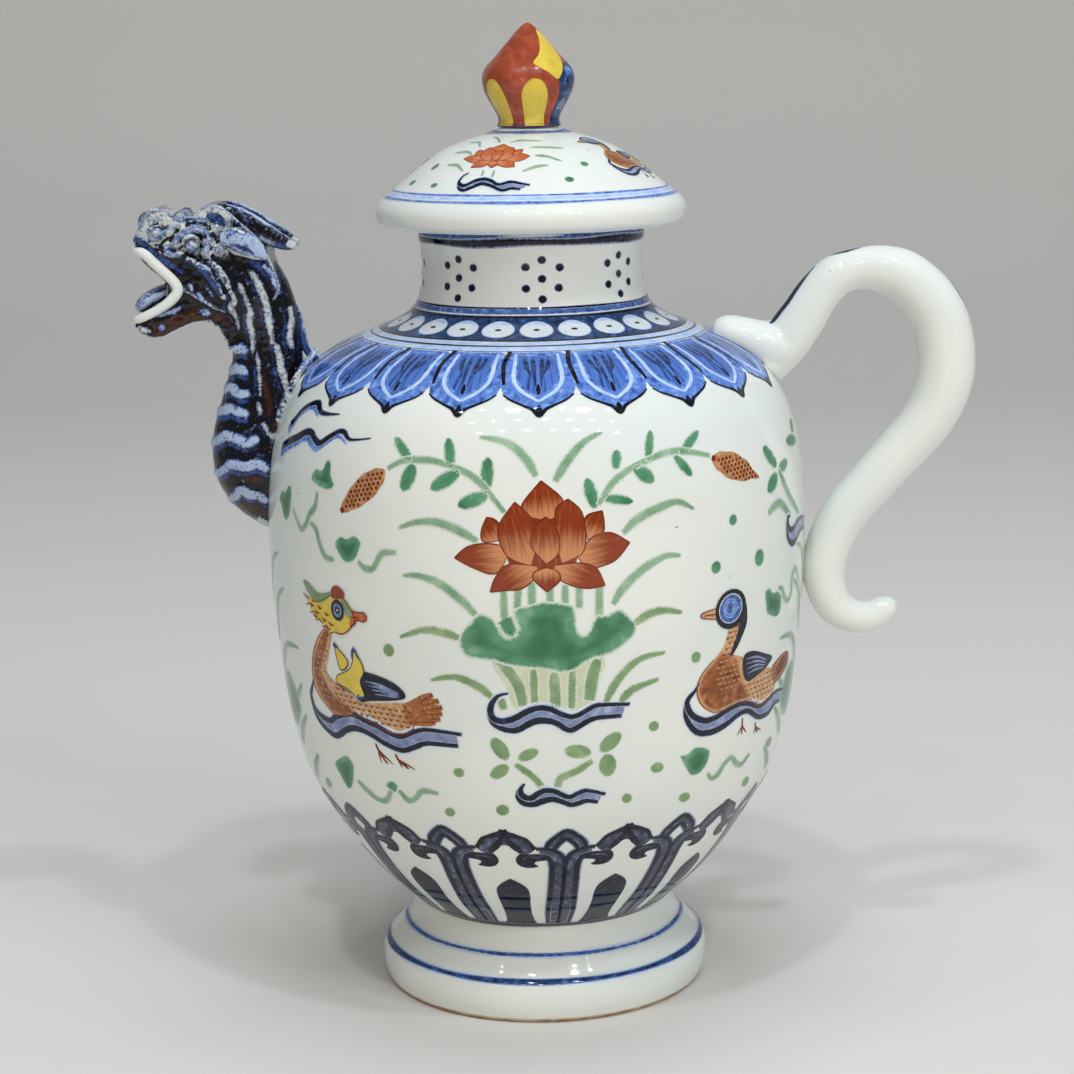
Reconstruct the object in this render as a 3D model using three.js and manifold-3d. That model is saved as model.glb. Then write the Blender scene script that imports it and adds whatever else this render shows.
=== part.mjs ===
// A porcelain ewer with a beast-head spout, an S-shaped handle and a domed lid, in millimetres, +Z up.
// The body is thrown, the spout and handle are modelled apart, and the pieces are luted together.
// The pot turns about the vertical axis x = 0, y = 0 of the inner group; the spout points to -X.
import * as THREE from "three";
import { mergeVertices } from "three/addons/utils/BufferGeometryUtils.js";
import Module from "manifold-3d";

const wasm = await Module();
wasm.setup();

// Driving dimensions
const TURNS = 40; // facets round every turned piece
const SEAM = 0.3; // clay seam left open between luted pieces
const WALL = 4.2; // vessel wall
const FOOT_TOP = 25.5;
const VESSEL_BASE = FOOT_TOP + SEAM;
const NECK_BASE = 200.5;
const NECK_TOP = 223.2;
const NECK_BORE = 28.4;
const LID_SEAT = NECK_TOP + SEAM;
const LID_TOP = 250.6;
const FLANGE_OUTER = 27.4;
const FLANGE_INNER = 24.2;
const FLANGE_DEPTH = 10.5;
const FINIAL_TOP = 280;
const HEAD_WIDTH = 19;
const HEAD_SOFTNESS = 3;
const JAW_WIDTH = 16.4;
const JAW_SOFTNESS = 1.3;

// Outer profiles, each as [radius, height]
const FOOT_OUTSIDE = [
  [46.2, 0], [47.6, 1.6], [48.6, 5], [48.6, 8.5], [47.6, 11.6], [45.8, 13.2],
  [41.8, 17.6], [40.4, 18.8], [38.9, 22], [37.9, FOOT_TOP],
];
const FOOT_INSIDE = [[32, FOOT_TOP], [32.5, 18], [37.5, 6], [40.8, 0]];
const VESSEL_OUTSIDE = [
  [38, VESSEL_BASE], [41.2, 28.6], [49.3, 36.4], [56.5, 45.5], [62.2, 54.5], [67.2, 63], [70.6, 71.5],
  [73.4, 83], [75.4, 95.5], [76.9, 109], [77.9, 123], [78.3, 137], [78, 149], [76.9, 159],
  [74.6, 168], [71, 176.4], [65.6, 183.4], [58.2, 188.8], [49.8, 192.6], [42, 195.8], [36.4, 198.6],
  [34.2, NECK_BASE],
];
const NECK_OUTSIDE = [
  [34.2, NECK_BASE + SEAM], [32.5, 204], [31.7, 209], [31.5, 214], [31.9, 218], [32.5, 221.5], [32.2, NECK_TOP],
];
const LID_OUTSIDE = [
  [0, LID_TOP], [9.2, LID_TOP], [11.8, 249.5], [18.6, 247.4], [24.6, 245], [31.2, 240.6], [36.2, 236.4],
  [40.4, 233], [42.8, 231.2], [44.1, 229.2], [44.4, 227.2], [43.6, 224.8], [41.4, LID_SEAT],
];
const LID_INSIDE = [[24, LID_SEAT], [24, 227], [31, 231.5], [29.5, 236], [22, 241.2], [12, 244.6], [0, 245.6]];
const FINIAL_OUTSIDE = [
  [0, LID_TOP + SEAM], [8.6, LID_TOP + SEAM], [8.8, 253], [10.2, 256.6], [12.4, 260.8], [13.1, 264.4], [12.2, 267.4],
  [9.6, 270.4], [6.6, 273.8], [3.6, 277.2], [1.4, 279.3], [0, FINIAL_TOP],
];

// Centre lines in the plane y = 0, each station as [x, z, radius]
const SPOUT_LINE = [
  [-56, 148, 13], [-68, 149.5, 15.2], [-76.2, 155, 16.6], [-78.6, 163, 15.2], [-78.2, 174, 12.4],
  [-77.2, 186, 10.7], [-77.6, 197, 10.2], [-80.4, 206, 10.4],
];
const POUR_LINE = [
  [-56, 150, 8], [-68, 151, 8], [-75.5, 156, 8], [-78.6, 165, 7.4], [-78.2, 175, 6.6], [-77.4, 186, 6.2],
  [-78.2, 196, 6], [-83, 204.5, 5.8], [-92, 207.4, 5.6], [-104, 207.5, 5.6], [-120, 207.5, 5.6],
];
const HANDLE_LINE = [
  [73.2, 191.6, 6.6], [79.2, 200.8, 6.2], [86, 207.2, 6.1], [96.4, 209.2, 6.6], [108.4, 205.4, 7.6],
  [117, 194.9, 8.2], [119.4, 179.4, 8.4], [114.4, 165.2, 7.7], [101.6, 150.4, 7], [89.6, 136.4, 6.8],
  [84.6, 124, 6.6],
];
const TAIL_LINE = [
  [84.5, 123.7, 6.5], [84.7, 116, 6.1], [88, 109.3, 5.6], [94.2, 106.2, 5], [100.4, 107.6, 4.4],
  [103.4, 110.4, 3.6], [104.6, 112, 1.4],
];
const ROOT_LINE = [[50.5, 191, 3.2], [56, 190.8, 5.4], [64, 190, 7.2], [72.5, 188.4, 7.6], [78.5, 188, 5.4], [81.6, 188.4, 1.6]];
const HEAD_OUTLINE = [
  [-100.6, 207.8], [-106.6, 214.2], [-113.6, 219], [-115, 221.6], [-113, 226.8], [-109.6, 230.2], [-107, 229.8],
  [-104.2, 227.6], [-101.2, 229.8], [-97.4, 228.8], [-94.6, 231.2], [-89.4, 232], [-82.6, 228.6], [-76.4, 221],
  [-72.2, 212.5], [-70, 205.6], [-78, 201.5], [-88, 200.4], [-95, 204.2],
];
const JAW_OUTLINE = [
  [-100.4, 206.8], [-105.6, 202.2], [-114.6, 197.8], [-115.4, 195.6], [-112.4, 193], [-106.6, 192.4], [-99.6, 195.4],
  [-93, 197.2], [-88.4, 193.8], [-86.4, 198.6], [-88.4, 200], [-95, 203.8],
];
const HORN = { x: -79.5, z: 225.4, y: 5.2, length: 14, width: 3.1, thickness: 2.3, tilt: -0.46 };
const EAR = { x: -82.4, z: 219.4, y: 9.6, length: 8.8, width: 3.6, thickness: 2.1, tilt: -0.42 };
const EYE = { x: -97.4, z: 220.8, y: 8.6, radius: 3 };
const NOSTRIL = { x: -109.4, z: 226.6, y: 6.6, radius: 3.4 };
const NAPE_LINE = [[-79.5, 226.5, 1.6], [-73.6, 216.4, 2], [-69.4, 205.5, 2.2], [-66.7, 196, 2], [-65.2, 189.6, 1.4]];

// Colours of the fired surfaces
const WHITE_GLAZE = new THREE.MeshStandardMaterial({ color: 0xdde4e2, roughness: 0.16, metalness: 0 });
const COBALT_GLAZE = new THREE.MeshStandardMaterial({ color: 0x1d2a52, roughness: 0.16, metalness: 0 });
const RED_ENAMEL = new THREE.MeshStandardMaterial({ color: 0xa8452f, roughness: 0.22, metalness: 0 });

// A solid for cutting and joining, from any closed geometry.
function solidOf(geometry) {
  const bare = geometry.clone();
  bare.deleteAttribute("normal");
  bare.deleteAttribute("uv");
  const merged = mergeVertices(bare, 1e-4);
  return new wasm.Manifold(
    new wasm.Mesh({
      numProp: 3,
      vertProperties: merged.attributes.position.array,
      triVerts: new Uint32Array(merged.index.array),
    }),
  );
}

function geometryOf(solid) {
  const mesh = solid.getMesh();
  return new THREE.BufferGeometry()
    .setAttribute("position", new THREE.BufferAttribute(Float32Array.from(mesh.vertProperties), 3))
    .setIndex(new THREE.BufferAttribute(Uint32Array.from(mesh.triVerts), 1));
}

// A turned solid from a closed profile of [radius, height] points, listed so that its faces point out.
function turned(profile) {
  const closed = [...profile, profile[0]].map(([r, z]) => new THREE.Vector2(r, z));
  const lathe = new THREE.LatheGeometry(closed, TURNS).rotateX(Math.PI / 2);
  const solid = solidOf(lathe);
  if (solid.volume() > 0) return solid;
  return solidOf(new THREE.LatheGeometry(closed.reverse(), TURNS).rotateX(Math.PI / 2));
}

// The filled shape of an outer profile, grown sideways, used to cut what is luted to it.
function filled(profile, grow) {
  const low = profile[0][1];
  const high = profile[profile.length - 1][1];
  return turned([[0, low], ...profile.map(([r, z]) => [r + grow, z]), [0, high]]);
}

// A smooth tapering tube along stations of [x, z, radius], with flat ends. squash narrows it in Y.
function tapered(stations, { steps, sides, grow = 0, squash = 1 }) {
  const path = new THREE.CatmullRomCurve3(stations.map(([x, z]) => new THREE.Vector3(x, 0, z)), false, "centripetal");
  const widths = new THREE.SplineCurve(stations.map(([, , r], i) => new THREE.Vector2(i, r)));
  const points = [];
  const faces = [];
  for (let i = 0; i <= steps; i++) {
    const t = i / steps;
    const centre = path.getPoint(t);
    const along = path.getTangent(t);
    const radius = widths.getPoint(t).y + grow;
    for (let k = 0; k < sides; k++) {
      const angle = (2 * Math.PI * k) / sides;
      const across = radius * Math.cos(angle);
      points.push(centre.x - along.z * across, radius * squash * Math.sin(angle), centre.z + along.x * across);
    }
  }
  for (let i = 0; i < steps; i++)
    for (let k = 0; k < sides; k++) {
      const a = i * sides + k;
      const b = i * sides + ((k + 1) % sides);
      faces.push(a, a + sides, b, b, a + sides, b + sides);
    }
  const last = steps * sides;
  for (let k = 1; k < sides - 1; k++) faces.push(0, k, k + 1, last, last + k + 1, last + k);
  const build = (index) => new THREE.BufferGeometry()
    .setAttribute("position", new THREE.BufferAttribute(new Float32Array(points), 3))
    .setIndex(index);
  const solid = solidOf(build(faces));
  if (solid.volume() > 0) return solid;
  return solidOf(build(faces.reverse()));
}

// A slab with edges softened by soft, cut to a side outline of [x, z] points and centred on y = 0.
function slab(outline, width, soft, grow = 0) {
  const shape = new THREE.Shape(outline.map(([x, z]) => new THREE.Vector2(x, z)));
  const geometry = new THREE.ExtrudeGeometry(shape, {
    depth: width - 2 * soft,
    bevelThickness: soft + grow,
    bevelSize: soft,
    bevelOffset: grow - soft,
    bevelSegments: 2,
    steps: 1,
  });
  return solidOf(geometry.translate(0, 0, soft - width / 2).rotateX(Math.PI / 2));
}

// An ellipsoid lying along the head, tipped by tilt about Y.
function pebble({ x, y, z, length, width, thickness, tilt = 0 }, grow = 0) {
  const geometry = new THREE.SphereGeometry(1, 12, 7)
    .scale(length + grow, thickness + grow, width + grow)
    .rotateY(-tilt)
    .translate(x, y, z);
  return solidOf(geometry);
}

function named(name, solid, material) {
  const mesh = new THREE.Mesh(geometryOf(solid), material);
  mesh.name = name;
  return mesh;
}

// The wall follows the outer profile, thicker at the base so that the ewer stands low and steady.
function vesselBody(pour) {
  const inside = VESSEL_OUTSIDE.filter(([, z]) => z > VESSEL_BASE + 8 && z < NECK_BASE - 2)
    .map(([r, z]) => [r - WALL, z < 60 ? z + 1 : z - (z > 165 ? 3.6 : 0)])
    .filter(([, z]) => z < 193);
  const profile = [
    [0, VESSEL_BASE], ...VESSEL_OUTSIDE, [NECK_BORE + 1, NECK_BASE], [NECK_BORE + 1, 196.4],
    ...inside.reverse(), [30, 30.8], [0, 30],
  ];
  return turned(profile).subtract(pour);
}

function footRing() {
  return turned([...FOOT_OUTSIDE, ...FOOT_INSIDE]);
}

function neckCollar() {
  return turned([...NECK_OUTSIDE, [NECK_BORE, NECK_TOP], [NECK_BORE, NECK_BASE + SEAM]]);
}

function lidFlange() {
  const top = LID_SEAT - SEAM;
  return turned([
    [FLANGE_INNER, top], [FLANGE_OUTER, top], [FLANGE_OUTER - 0.4, top - FLANGE_DEPTH], [FLANGE_INNER, top - FLANGE_DEPTH],
  ]);
}

const vesselCutter = filled(VESSEL_OUTSIDE, SEAM);
const pourBore = tapered(POUR_LINE, { steps: 22, sides: 10 });
const spoutTube = (grow) => tapered(SPOUT_LINE, { steps: 18, sides: 16, grow, squash: 0.92 });
const headBlock = (grow) => slab(HEAD_OUTLINE, HEAD_WIDTH, HEAD_SOFTNESS, grow);
const rootPad = (grow) => tapered(ROOT_LINE, { steps: 12, sides: 12, grow });

function spoutParts() {
  const tube = spoutTube(0).subtract(vesselCutter).subtract(pourBore);
  const head = headBlock(0).subtract(spoutTube(SEAM)).subtract(pourBore);
  const jaw = slab(JAW_OUTLINE, JAW_WIDTH, JAW_SOFTNESS).subtract(headBlock(SEAM)).subtract(spoutTube(SEAM)).subtract(pourBore);
  const crest = tapered(NAPE_LINE, { steps: 12, sides: 8 })
    .subtract(headBlock(SEAM)).subtract(spoutTube(SEAM)).subtract(vesselCutter);
  const parts = [
    named("spout_neck", largest(tube), COBALT_GLAZE),
    named("beast_head", largest(head), COBALT_GLAZE),
    named("lower_jaw", largest(jaw), COBALT_GLAZE),
    named("nape_ridge", largest(crest), COBALT_GLAZE),
  ];
  for (const [side, sign] of [["left", -1], ["right", 1]]) {
    const put = (spec) => ({ ...spec, y: sign * spec.y });
    const round = ({ x, y, z, radius }) => ({ x, y, z, length: radius, width: radius, thickness: radius });
    const horn = pebble(put(HORN)).subtract(headBlock(SEAM));
    const ear = pebble(put(EAR)).subtract(headBlock(SEAM)).subtract(pebble(put(HORN), SEAM));
    const eye = pebble(put(round(EYE))).subtract(headBlock(SEAM));
    const nostril = pebble(put(round(NOSTRIL))).subtract(headBlock(SEAM));
    parts.push(named(`${side}_horn`, largest(horn), COBALT_GLAZE));
    parts.push(named(`${side}_ear`, largest(ear), COBALT_GLAZE));
    parts.push(named(`${side}_eye`, largest(eye), WHITE_GLAZE));
    parts.push(named(`${side}_nostril`, largest(nostril), COBALT_GLAZE));
  }
  return parts;
}

// Cutting can leave crumbs: the largest body is the piece.
function largest(solid) {
  return solid.decompose().sort((a, b) => b.volume() - a.volume())[0];
}

function handleParts() {
  const root = rootPad(0).subtract(vesselCutter);
  const loop = tapered(HANDLE_LINE, { steps: 28, sides: 12 }).subtract(rootPad(SEAM)).subtract(vesselCutter);
  const tail = tapered(TAIL_LINE, { steps: 12, sides: 12 })
    .subtract(tapered(HANDLE_LINE, { steps: 28, sides: 12, grow: SEAM })).subtract(vesselCutter);
  return [
    named("handle_root", largest(root), WHITE_GLAZE),
    named("handle_loop", largest(loop), WHITE_GLAZE),
    named("handle_tail", largest(tail), WHITE_GLAZE),
  ];
}

function lidParts() {
  const lid = new THREE.Group();
  lid.add(named("lid_dome", turned([...LID_OUTSIDE, ...LID_INSIDE]), WHITE_GLAZE));
  lid.add(named("lid_flange", lidFlange(), WHITE_GLAZE));
  lid.add(named("lid_finial", turned(FINIAL_OUTSIDE), RED_ENAMEL));
  return lid;
}

const pot = new THREE.Group();
pot.add(named("foot_ring", footRing(), WHITE_GLAZE));
pot.add(named("vessel_body", vesselBody(pourBore), WHITE_GLAZE));
pot.add(named("neck_collar", neckCollar(), WHITE_GLAZE));
pot.add(...spoutParts(), ...handleParts(), lidParts());

// The origin stands under the middle of the whole outline, on the table.
pot.updateMatrixWorld(true);
const reach = new THREE.Box3().setFromObject(pot);
pot.position.x = -(reach.min.x + reach.max.x) / 2;
console.log(`pot axis at x = ${pot.position.x.toFixed(3)} mm, reach ${reach.min.x.toFixed(2)} to ${reach.max.x.toFixed(2)}`);

const ewer = new THREE.Group();
ewer.add(pot);
export default ewer;
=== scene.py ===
"""Looks of a lidded porcelain ewer with a beast-head spout, painted in cobalt and overglaze enamels."""

import bisect
import logging
import math
from dataclasses import dataclass, field
from enum import Enum
from typing import Callable, Iterable, Sequence

import bmesh
import bpy
from mathutils import Matrix, Vector, noise
from mathutils.bvhtree import BVHTree
from mathutils.kdtree import KDTree

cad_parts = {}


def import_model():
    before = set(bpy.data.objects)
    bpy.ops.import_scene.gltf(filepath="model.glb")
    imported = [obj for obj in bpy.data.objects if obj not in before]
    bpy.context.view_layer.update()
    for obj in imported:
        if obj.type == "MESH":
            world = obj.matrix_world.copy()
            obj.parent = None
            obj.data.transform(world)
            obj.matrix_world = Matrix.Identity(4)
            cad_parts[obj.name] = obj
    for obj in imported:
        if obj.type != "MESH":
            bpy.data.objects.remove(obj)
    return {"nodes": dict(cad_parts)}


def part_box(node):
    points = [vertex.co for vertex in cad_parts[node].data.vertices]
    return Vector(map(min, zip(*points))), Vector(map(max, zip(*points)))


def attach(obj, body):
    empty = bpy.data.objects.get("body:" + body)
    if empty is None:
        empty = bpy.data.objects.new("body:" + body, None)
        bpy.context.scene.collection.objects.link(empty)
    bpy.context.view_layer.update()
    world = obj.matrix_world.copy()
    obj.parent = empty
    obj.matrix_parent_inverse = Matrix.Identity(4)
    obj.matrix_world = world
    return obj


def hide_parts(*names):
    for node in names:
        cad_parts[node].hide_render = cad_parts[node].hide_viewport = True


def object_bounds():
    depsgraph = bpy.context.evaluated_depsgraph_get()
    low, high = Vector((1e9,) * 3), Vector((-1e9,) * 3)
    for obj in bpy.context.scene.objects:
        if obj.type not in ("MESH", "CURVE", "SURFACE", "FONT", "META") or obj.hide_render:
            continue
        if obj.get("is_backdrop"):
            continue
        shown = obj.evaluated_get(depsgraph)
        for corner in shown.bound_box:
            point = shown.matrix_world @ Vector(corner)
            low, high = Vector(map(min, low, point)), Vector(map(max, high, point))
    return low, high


LOG = logging.getLogger("ewer")
MM = 0.001
ONE_DEGREE = 180 / math.pi
POND_MIDDLE = 132.9  # How far up the body's profile the pond's middle lies, in millimetres.
Point = tuple[float, float]
Path = Sequence[Point]
Station = Sequence[float]
Stations = Sequence[Station]
Widths = Sequence[float]
Placer = Callable[[float, float, float], Vector]
Socket = bpy.types.NodeSocket
Shape = bmesh.types.BMesh
Value = float | tuple | Socket


def linear(hex_colour: str) -> tuple[float, float, float, float]:
    """Turn an sRGB hex colour such as "#dfe6e4" into linear red, green, blue and alpha."""
    parts = [int(hex_colour[i : i + 2], 16) / 255 for i in (1, 3, 5)]
    return (*[p / 12.92 if p <= 0.04045 else ((p + 0.055) / 1.055) ** 2.4 for p in parts], 1.0)


def smooth_line(points: Stations, per_span: int, closed: bool = False) -> list[tuple[float, ...]]:
    """Carry a Catmull-Rom curve through points.

    Args:
        points: The points, of any number of coordinates.
        per_span: Steps between two points.
        closed: Whether the curve runs back to its start.

    Returns:
        The points of the curve. A closed curve doesn't repeat its first point.
    """
    spots = [Vector(p) for p in points]
    ends = [spots[-1], spots[0], spots[1]] if closed else [spots[0], spots[-1]]
    spots = [ends[0], *spots, *ends[1:]]
    out = []
    for p0, p1, p2, p3 in zip(spots, spots[1:], spots[2:], spots[3:]):
        slope, curve, twist = p2 - p0, 2 * p0 - 5 * p1 + 4 * p2 - p3, 3 * p1 - p0 - 3 * p2 + p3
        for step in range(per_span):
            t = step / per_span
            out.append(tuple(p1 + 0.5 * (slope * t + curve * t * t + twist * t * t * t)))
    if not closed:
        out.append(tuple(spots[-1]))
    return out


def outline(*sides: Path, per_span: int = 4) -> list[tuple[float, ...]]:
    """Draw a closed outline: one smooth side that closes on itself, or several that meet in corners."""
    if len(sides) == 1:
        return smooth_line(sides[0], per_span, closed=True)
    return [p for side in sides for p in smooth_line(side, per_span)[:-1]]


def mirrored(points: Path) -> list[Point]:
    """The same points on the other side of x = 0, in turned order."""
    return [(-x, y) for x, y in reversed(points)]


class Tree:
    """A material's node tree, with the few things that every glaze here is mixed from."""

    glaze_ior = 1.42

    def __init__(self, name: str) -> None:
        """Start an empty node material called name."""
        self.material = bpy.data.materials.new(name)
        self.material.use_nodes = True
        self.nodes = self.material.node_tree
        self.nodes.nodes.clear()

    def add(self, kind: str, inputs: dict[int | str, Value], out: int | str = 0, **settings) -> Socket:
        """Add a node with its settings, and set or link its inputs.

        Args:
            kind: Blender's name of the node's type, without its ShaderNode start.
            inputs: Input name or index to a value, or to the socket that feeds it.
            out: The output to return.
            **settings: Properties of the node itself.

        Returns:
            One output of the new node, or the node where it has none.
        """
        node = self.nodes.nodes.new("ShaderNode" + kind)
        for name, value in settings.items():
            setattr(node, name, value)
        for key, value in inputs.items():
            if isinstance(value, Socket):
                self.nodes.links.new(value, node.inputs[key])
            else:
                node.inputs[key].default_value = value
        return node.outputs[out] if node.outputs else node

    def noise(self, size_mm: float, detail: float = 3.0, place: Value | None = None) -> Socket:
        """Noise whose lumps are about size_mm wide, on the piece's own coordinates or on place."""
        place = place or self.add("TexCoord", {}, "Object")
        return self.add("TexNoise", {"Vector": place, "Scale": 1.0 / (size_mm * MM), "Detail": detail}, "Fac")

    def step(self, value: Value, low: float, high: float) -> Socket:
        """A smooth step of value, from 0 at low to 1 at high."""
        inputs = {"Value": value, "From Min": low, "From Max": high}
        return self.add("MapRange", inputs, interpolation_type="SMOOTHSTEP")

    def mix(self, share: Value, first: Value, second: Value) -> Socket:
        """The colour between first and second at share."""
        return self.add("Mix", {0: share, 6: first, 7: second}, 2, data_type="RGBA")

    def coat(self, under: Value, value: Value, low: float, high: float, tone: str) -> Socket:
        """The colour under, which turns to tone as value steps from low to high."""
        return self.mix(self.step(value, low, high), under, linear(tone))

    def sum(self, operation: str, first: Value, second: Value = 0.0) -> Socket:
        """One step of arithmetic."""
        return self.add("Math", {0: first, 1: second}, operation=operation)

    def attribute(self, name: str, out: str = "Fac") -> Socket:
        """What the painter left on each point under name."""
        return self.add("Attribute", {}, out, attribute_name=name)

    def porcelain(self) -> Socket:
        """The white of the body under its clear glaze: faintly green-blue where the glaze lies thicker."""
        return self.coat(linear("#e2e7e2"), self.noise(55.0, 1.0), 0.35, 0.7, "#dae2df")

    def glaze(
        self, colour: Value, roughness: float = 0.06, ripple_mm: float = 0.014, ripple_size: float = 6.5
    ) -> bpy.types.Material:
        """Close the material with a glossy glaze over faint ripples, which break a lamp into small sparks."""
        ripple = self.noise(ripple_size, 2.0)
        bump = self.add("Bump", {"Height": ripple, "Strength": 1.0, "Distance": ripple_mm * MM})
        inputs = {"Base Color": colour, "Roughness": roughness, "IOR": self.glaze_ior, "Normal": bump}
        self.add("OutputMaterial", {"Surface": self.add("BsdfPrincipled", inputs)})
        return self.material


@dataclass(frozen=True)
class ClearGlaze:
    """White porcelain under clear feldspar glaze, with a few iron specks burnt out of the clay."""

    name: str = "clear_glazed_porcelain"
    speck: str = "#8f9187"

    def material(self) -> bpy.types.Material:
        """Build the material."""
        tree = Tree(self.name)
        specks = tree.step(tree.noise(1.5, 1.0), 0.80, 0.84)
        return tree.glaze(tree.mix(specks, tree.porcelain(), linear(self.speck)))


@dataclass(frozen=True)
class Biscuit:
    """Bare fired porcelain at the foot, matt and toasted to a tan where the glaze stops."""

    name: str = "toasted_biscuit"

    def material(self) -> bpy.types.Material:
        """Build the material."""
        tree = Tree(self.name)
        toasted = tree.coat(linear("#c9b79b"), tree.noise(4.0), 0.35, 0.65, "#a98b66")
        return tree.glaze(toasted, roughness=0.75, ripple_mm=0.03, ripple_size=0.6)


@dataclass(frozen=True)
class RedGround:
    """Iron-red enamel laid over a whole piece, thinner and pinker where the brush lifted."""

    name: str = "iron_red_ground"

    def material(self) -> bpy.types.Material:
        """Build the material."""
        tree = Tree(self.name)
        wash = tree.noise(3.2, 3.0)
        red = tree.coat(linear("#a64e36"), wash, 0.4, 0.62, "#90402a")
        red = tree.coat(red, wash, 0.42, 0.28, "#b26450")
        return tree.glaze(red, ripple_mm=0.03, ripple_size=3.0)


@dataclass(frozen=True)
class BeastGlaze:
    """Moulded porcelain under thick cobalt that runs from black to blue, with reserved cream and pale marks.

    The relief and the run glaze give it many small bright sparks. Convex points are painted pale: partly the
    white showing through where the glaze runs off a ridge, and partly painted highlights and glints. Hollows
    are painted near black: partly pooled cobalt, and partly painted shade. The marks are numbers on its
    points: a mark breaks up at its edge, where the cobalt runs over it, and its heart is the palest.
    """

    name: str = "run_cobalt_glaze"
    speck_mm: float = 0.75
    run_mm: float = 2.4

    def material(self) -> bpy.types.Material:
        """Build the material."""
        tree = Tree(self.name)
        fine, coarse = tree.noise(self.speck_mm, 2.0), tree.noise(self.run_mm, 3.0)
        drift = tree.sum("ADD", tree.sum("MULTIPLY", fine, 1.2), coarse)
        colour = tree.coat(linear("#0c0c10"), coarse, 0.56, 0.7, "#1b2a54")
        colour = tree.coat(colour, coarse, 0.42, 0.3, "#24170f")
        # Pale on convex points: glaze run thin off the ridges, and painted highlights and glints.
        sharp = tree.sum("MULTIPLY", tree.attribute("ridge"), 10.0)
        ridge = tree.sum("ADD", sharp, tree.sum("ADD", coarse, 0.6))
        colour = tree.coat(colour, ridge, 1.35, 1.85, "#5c6884")
        colour = tree.coat(colour, ridge, 1.75, 2.2, "#bcc6cc")
        for mark, heart, rim in (
            ("cobalt", "#34508c", "#18244e"),
            ("brown", "#3e2117", "#1a0d0b"),
            ("pale", "#a8bad6", "#4763a0"),
            ("cream", "#c2cac8", "#74829a"),
        ):
            lies = tree.sum("SUBTRACT", tree.sum("ADD", tree.attribute(mark), drift), 1.1)
            tone = tree.coat(linear(rim), lies, 0.55, 1.0, heart)
            tone = tree.coat(tone, fine, 0.34, 0.28, "#1c1f2e")
            colour = tree.mix(tree.step(lies, 0.32, 0.62), colour, tone)
        # Near black in hollows: cobalt pooled there, and painted shade.
        colour = tree.coat(colour, ridge, 0.8, 0.4, "#0e1018")
        return tree.glaze(colour, roughness=0.05, ripple_mm=0.05, ripple_size=1.6)


@dataclass(frozen=True)
class Paint:
    """A brushed colour on porcelain. It fades into the white at a stroke's edge and lies uneven within it.

    body, pooled and thin are its colour at an even, a heavy and a light coat. edge is the share of the fade
    that the brush leaves ragged, streak draws the unevenness out along the brush, thin_at_root is how far
    a stroke pales towards its start, and deepens how far it turns to pooled in its middle. uneven is how much
    of the mottling shows, and onto is the colour that it fades into where that isn't the white.
    """

    name: str
    body: str
    pooled: str
    thin: str
    mottle_mm: float = 1.6
    edge: float = 0.5
    streak: bool = False
    thin_at_root: float = 0.0
    deepens: float = 0.0
    onto: str = ""
    uneven: float = 1.0

    def material(self) -> bpy.types.Material:
        """Build the material, or return it where it is there already."""
        if self.name in bpy.data.materials:
            return bpy.data.materials[self.name]
        tree = Tree(self.name)
        brush, depth = tree.attribute("brush", "Vector"), tree.attribute("cover")
        place = None
        if self.streak:
            place = tree.add("VectorMath", {0: brush, 1: (MM, 0.06 * MM, 0)}, operation="MULTIPLY")
        mottle = tree.noise(self.mottle_mm, 3.0, place)
        colour = linear(self.body)
        for low, high, tone in ((0.48, 0.7, self.pooled), (0.46, 0.3, self.thin)):
            share = tree.sum("MULTIPLY", tree.step(mottle, low, high), self.uneven)
            colour = tree.mix(share, colour, linear(tone))
        if self.deepens:
            middle = tree.sum("MULTIPLY", tree.step(depth, 1.2, 4.5), self.deepens)
            colour = tree.mix(middle, colour, linear(self.pooled))
        if self.thin_at_root:
            share = tree.add("SeparateXYZ", {0: brush}, 2)
            root = tree.step(tree.sum("ADD", share, tree.sum("MULTIPLY", mottle, 0.7)), 1.0, 0.45)
            colour = tree.mix(tree.sum("MULTIPLY", root, self.thin_at_root), colour, linear(self.thin))
        shift = tree.sum("MULTIPLY", tree.sum("SUBTRACT", tree.noise(0.7, 2.0), 0.5), self.edge * 2)
        cover = tree.step(tree.sum("ADD", depth, shift), 0.05, 0.95)
        ground = linear(self.onto) if self.onto else tree.porcelain()
        return tree.glaze(tree.mix(cover, ground, colour))


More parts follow.
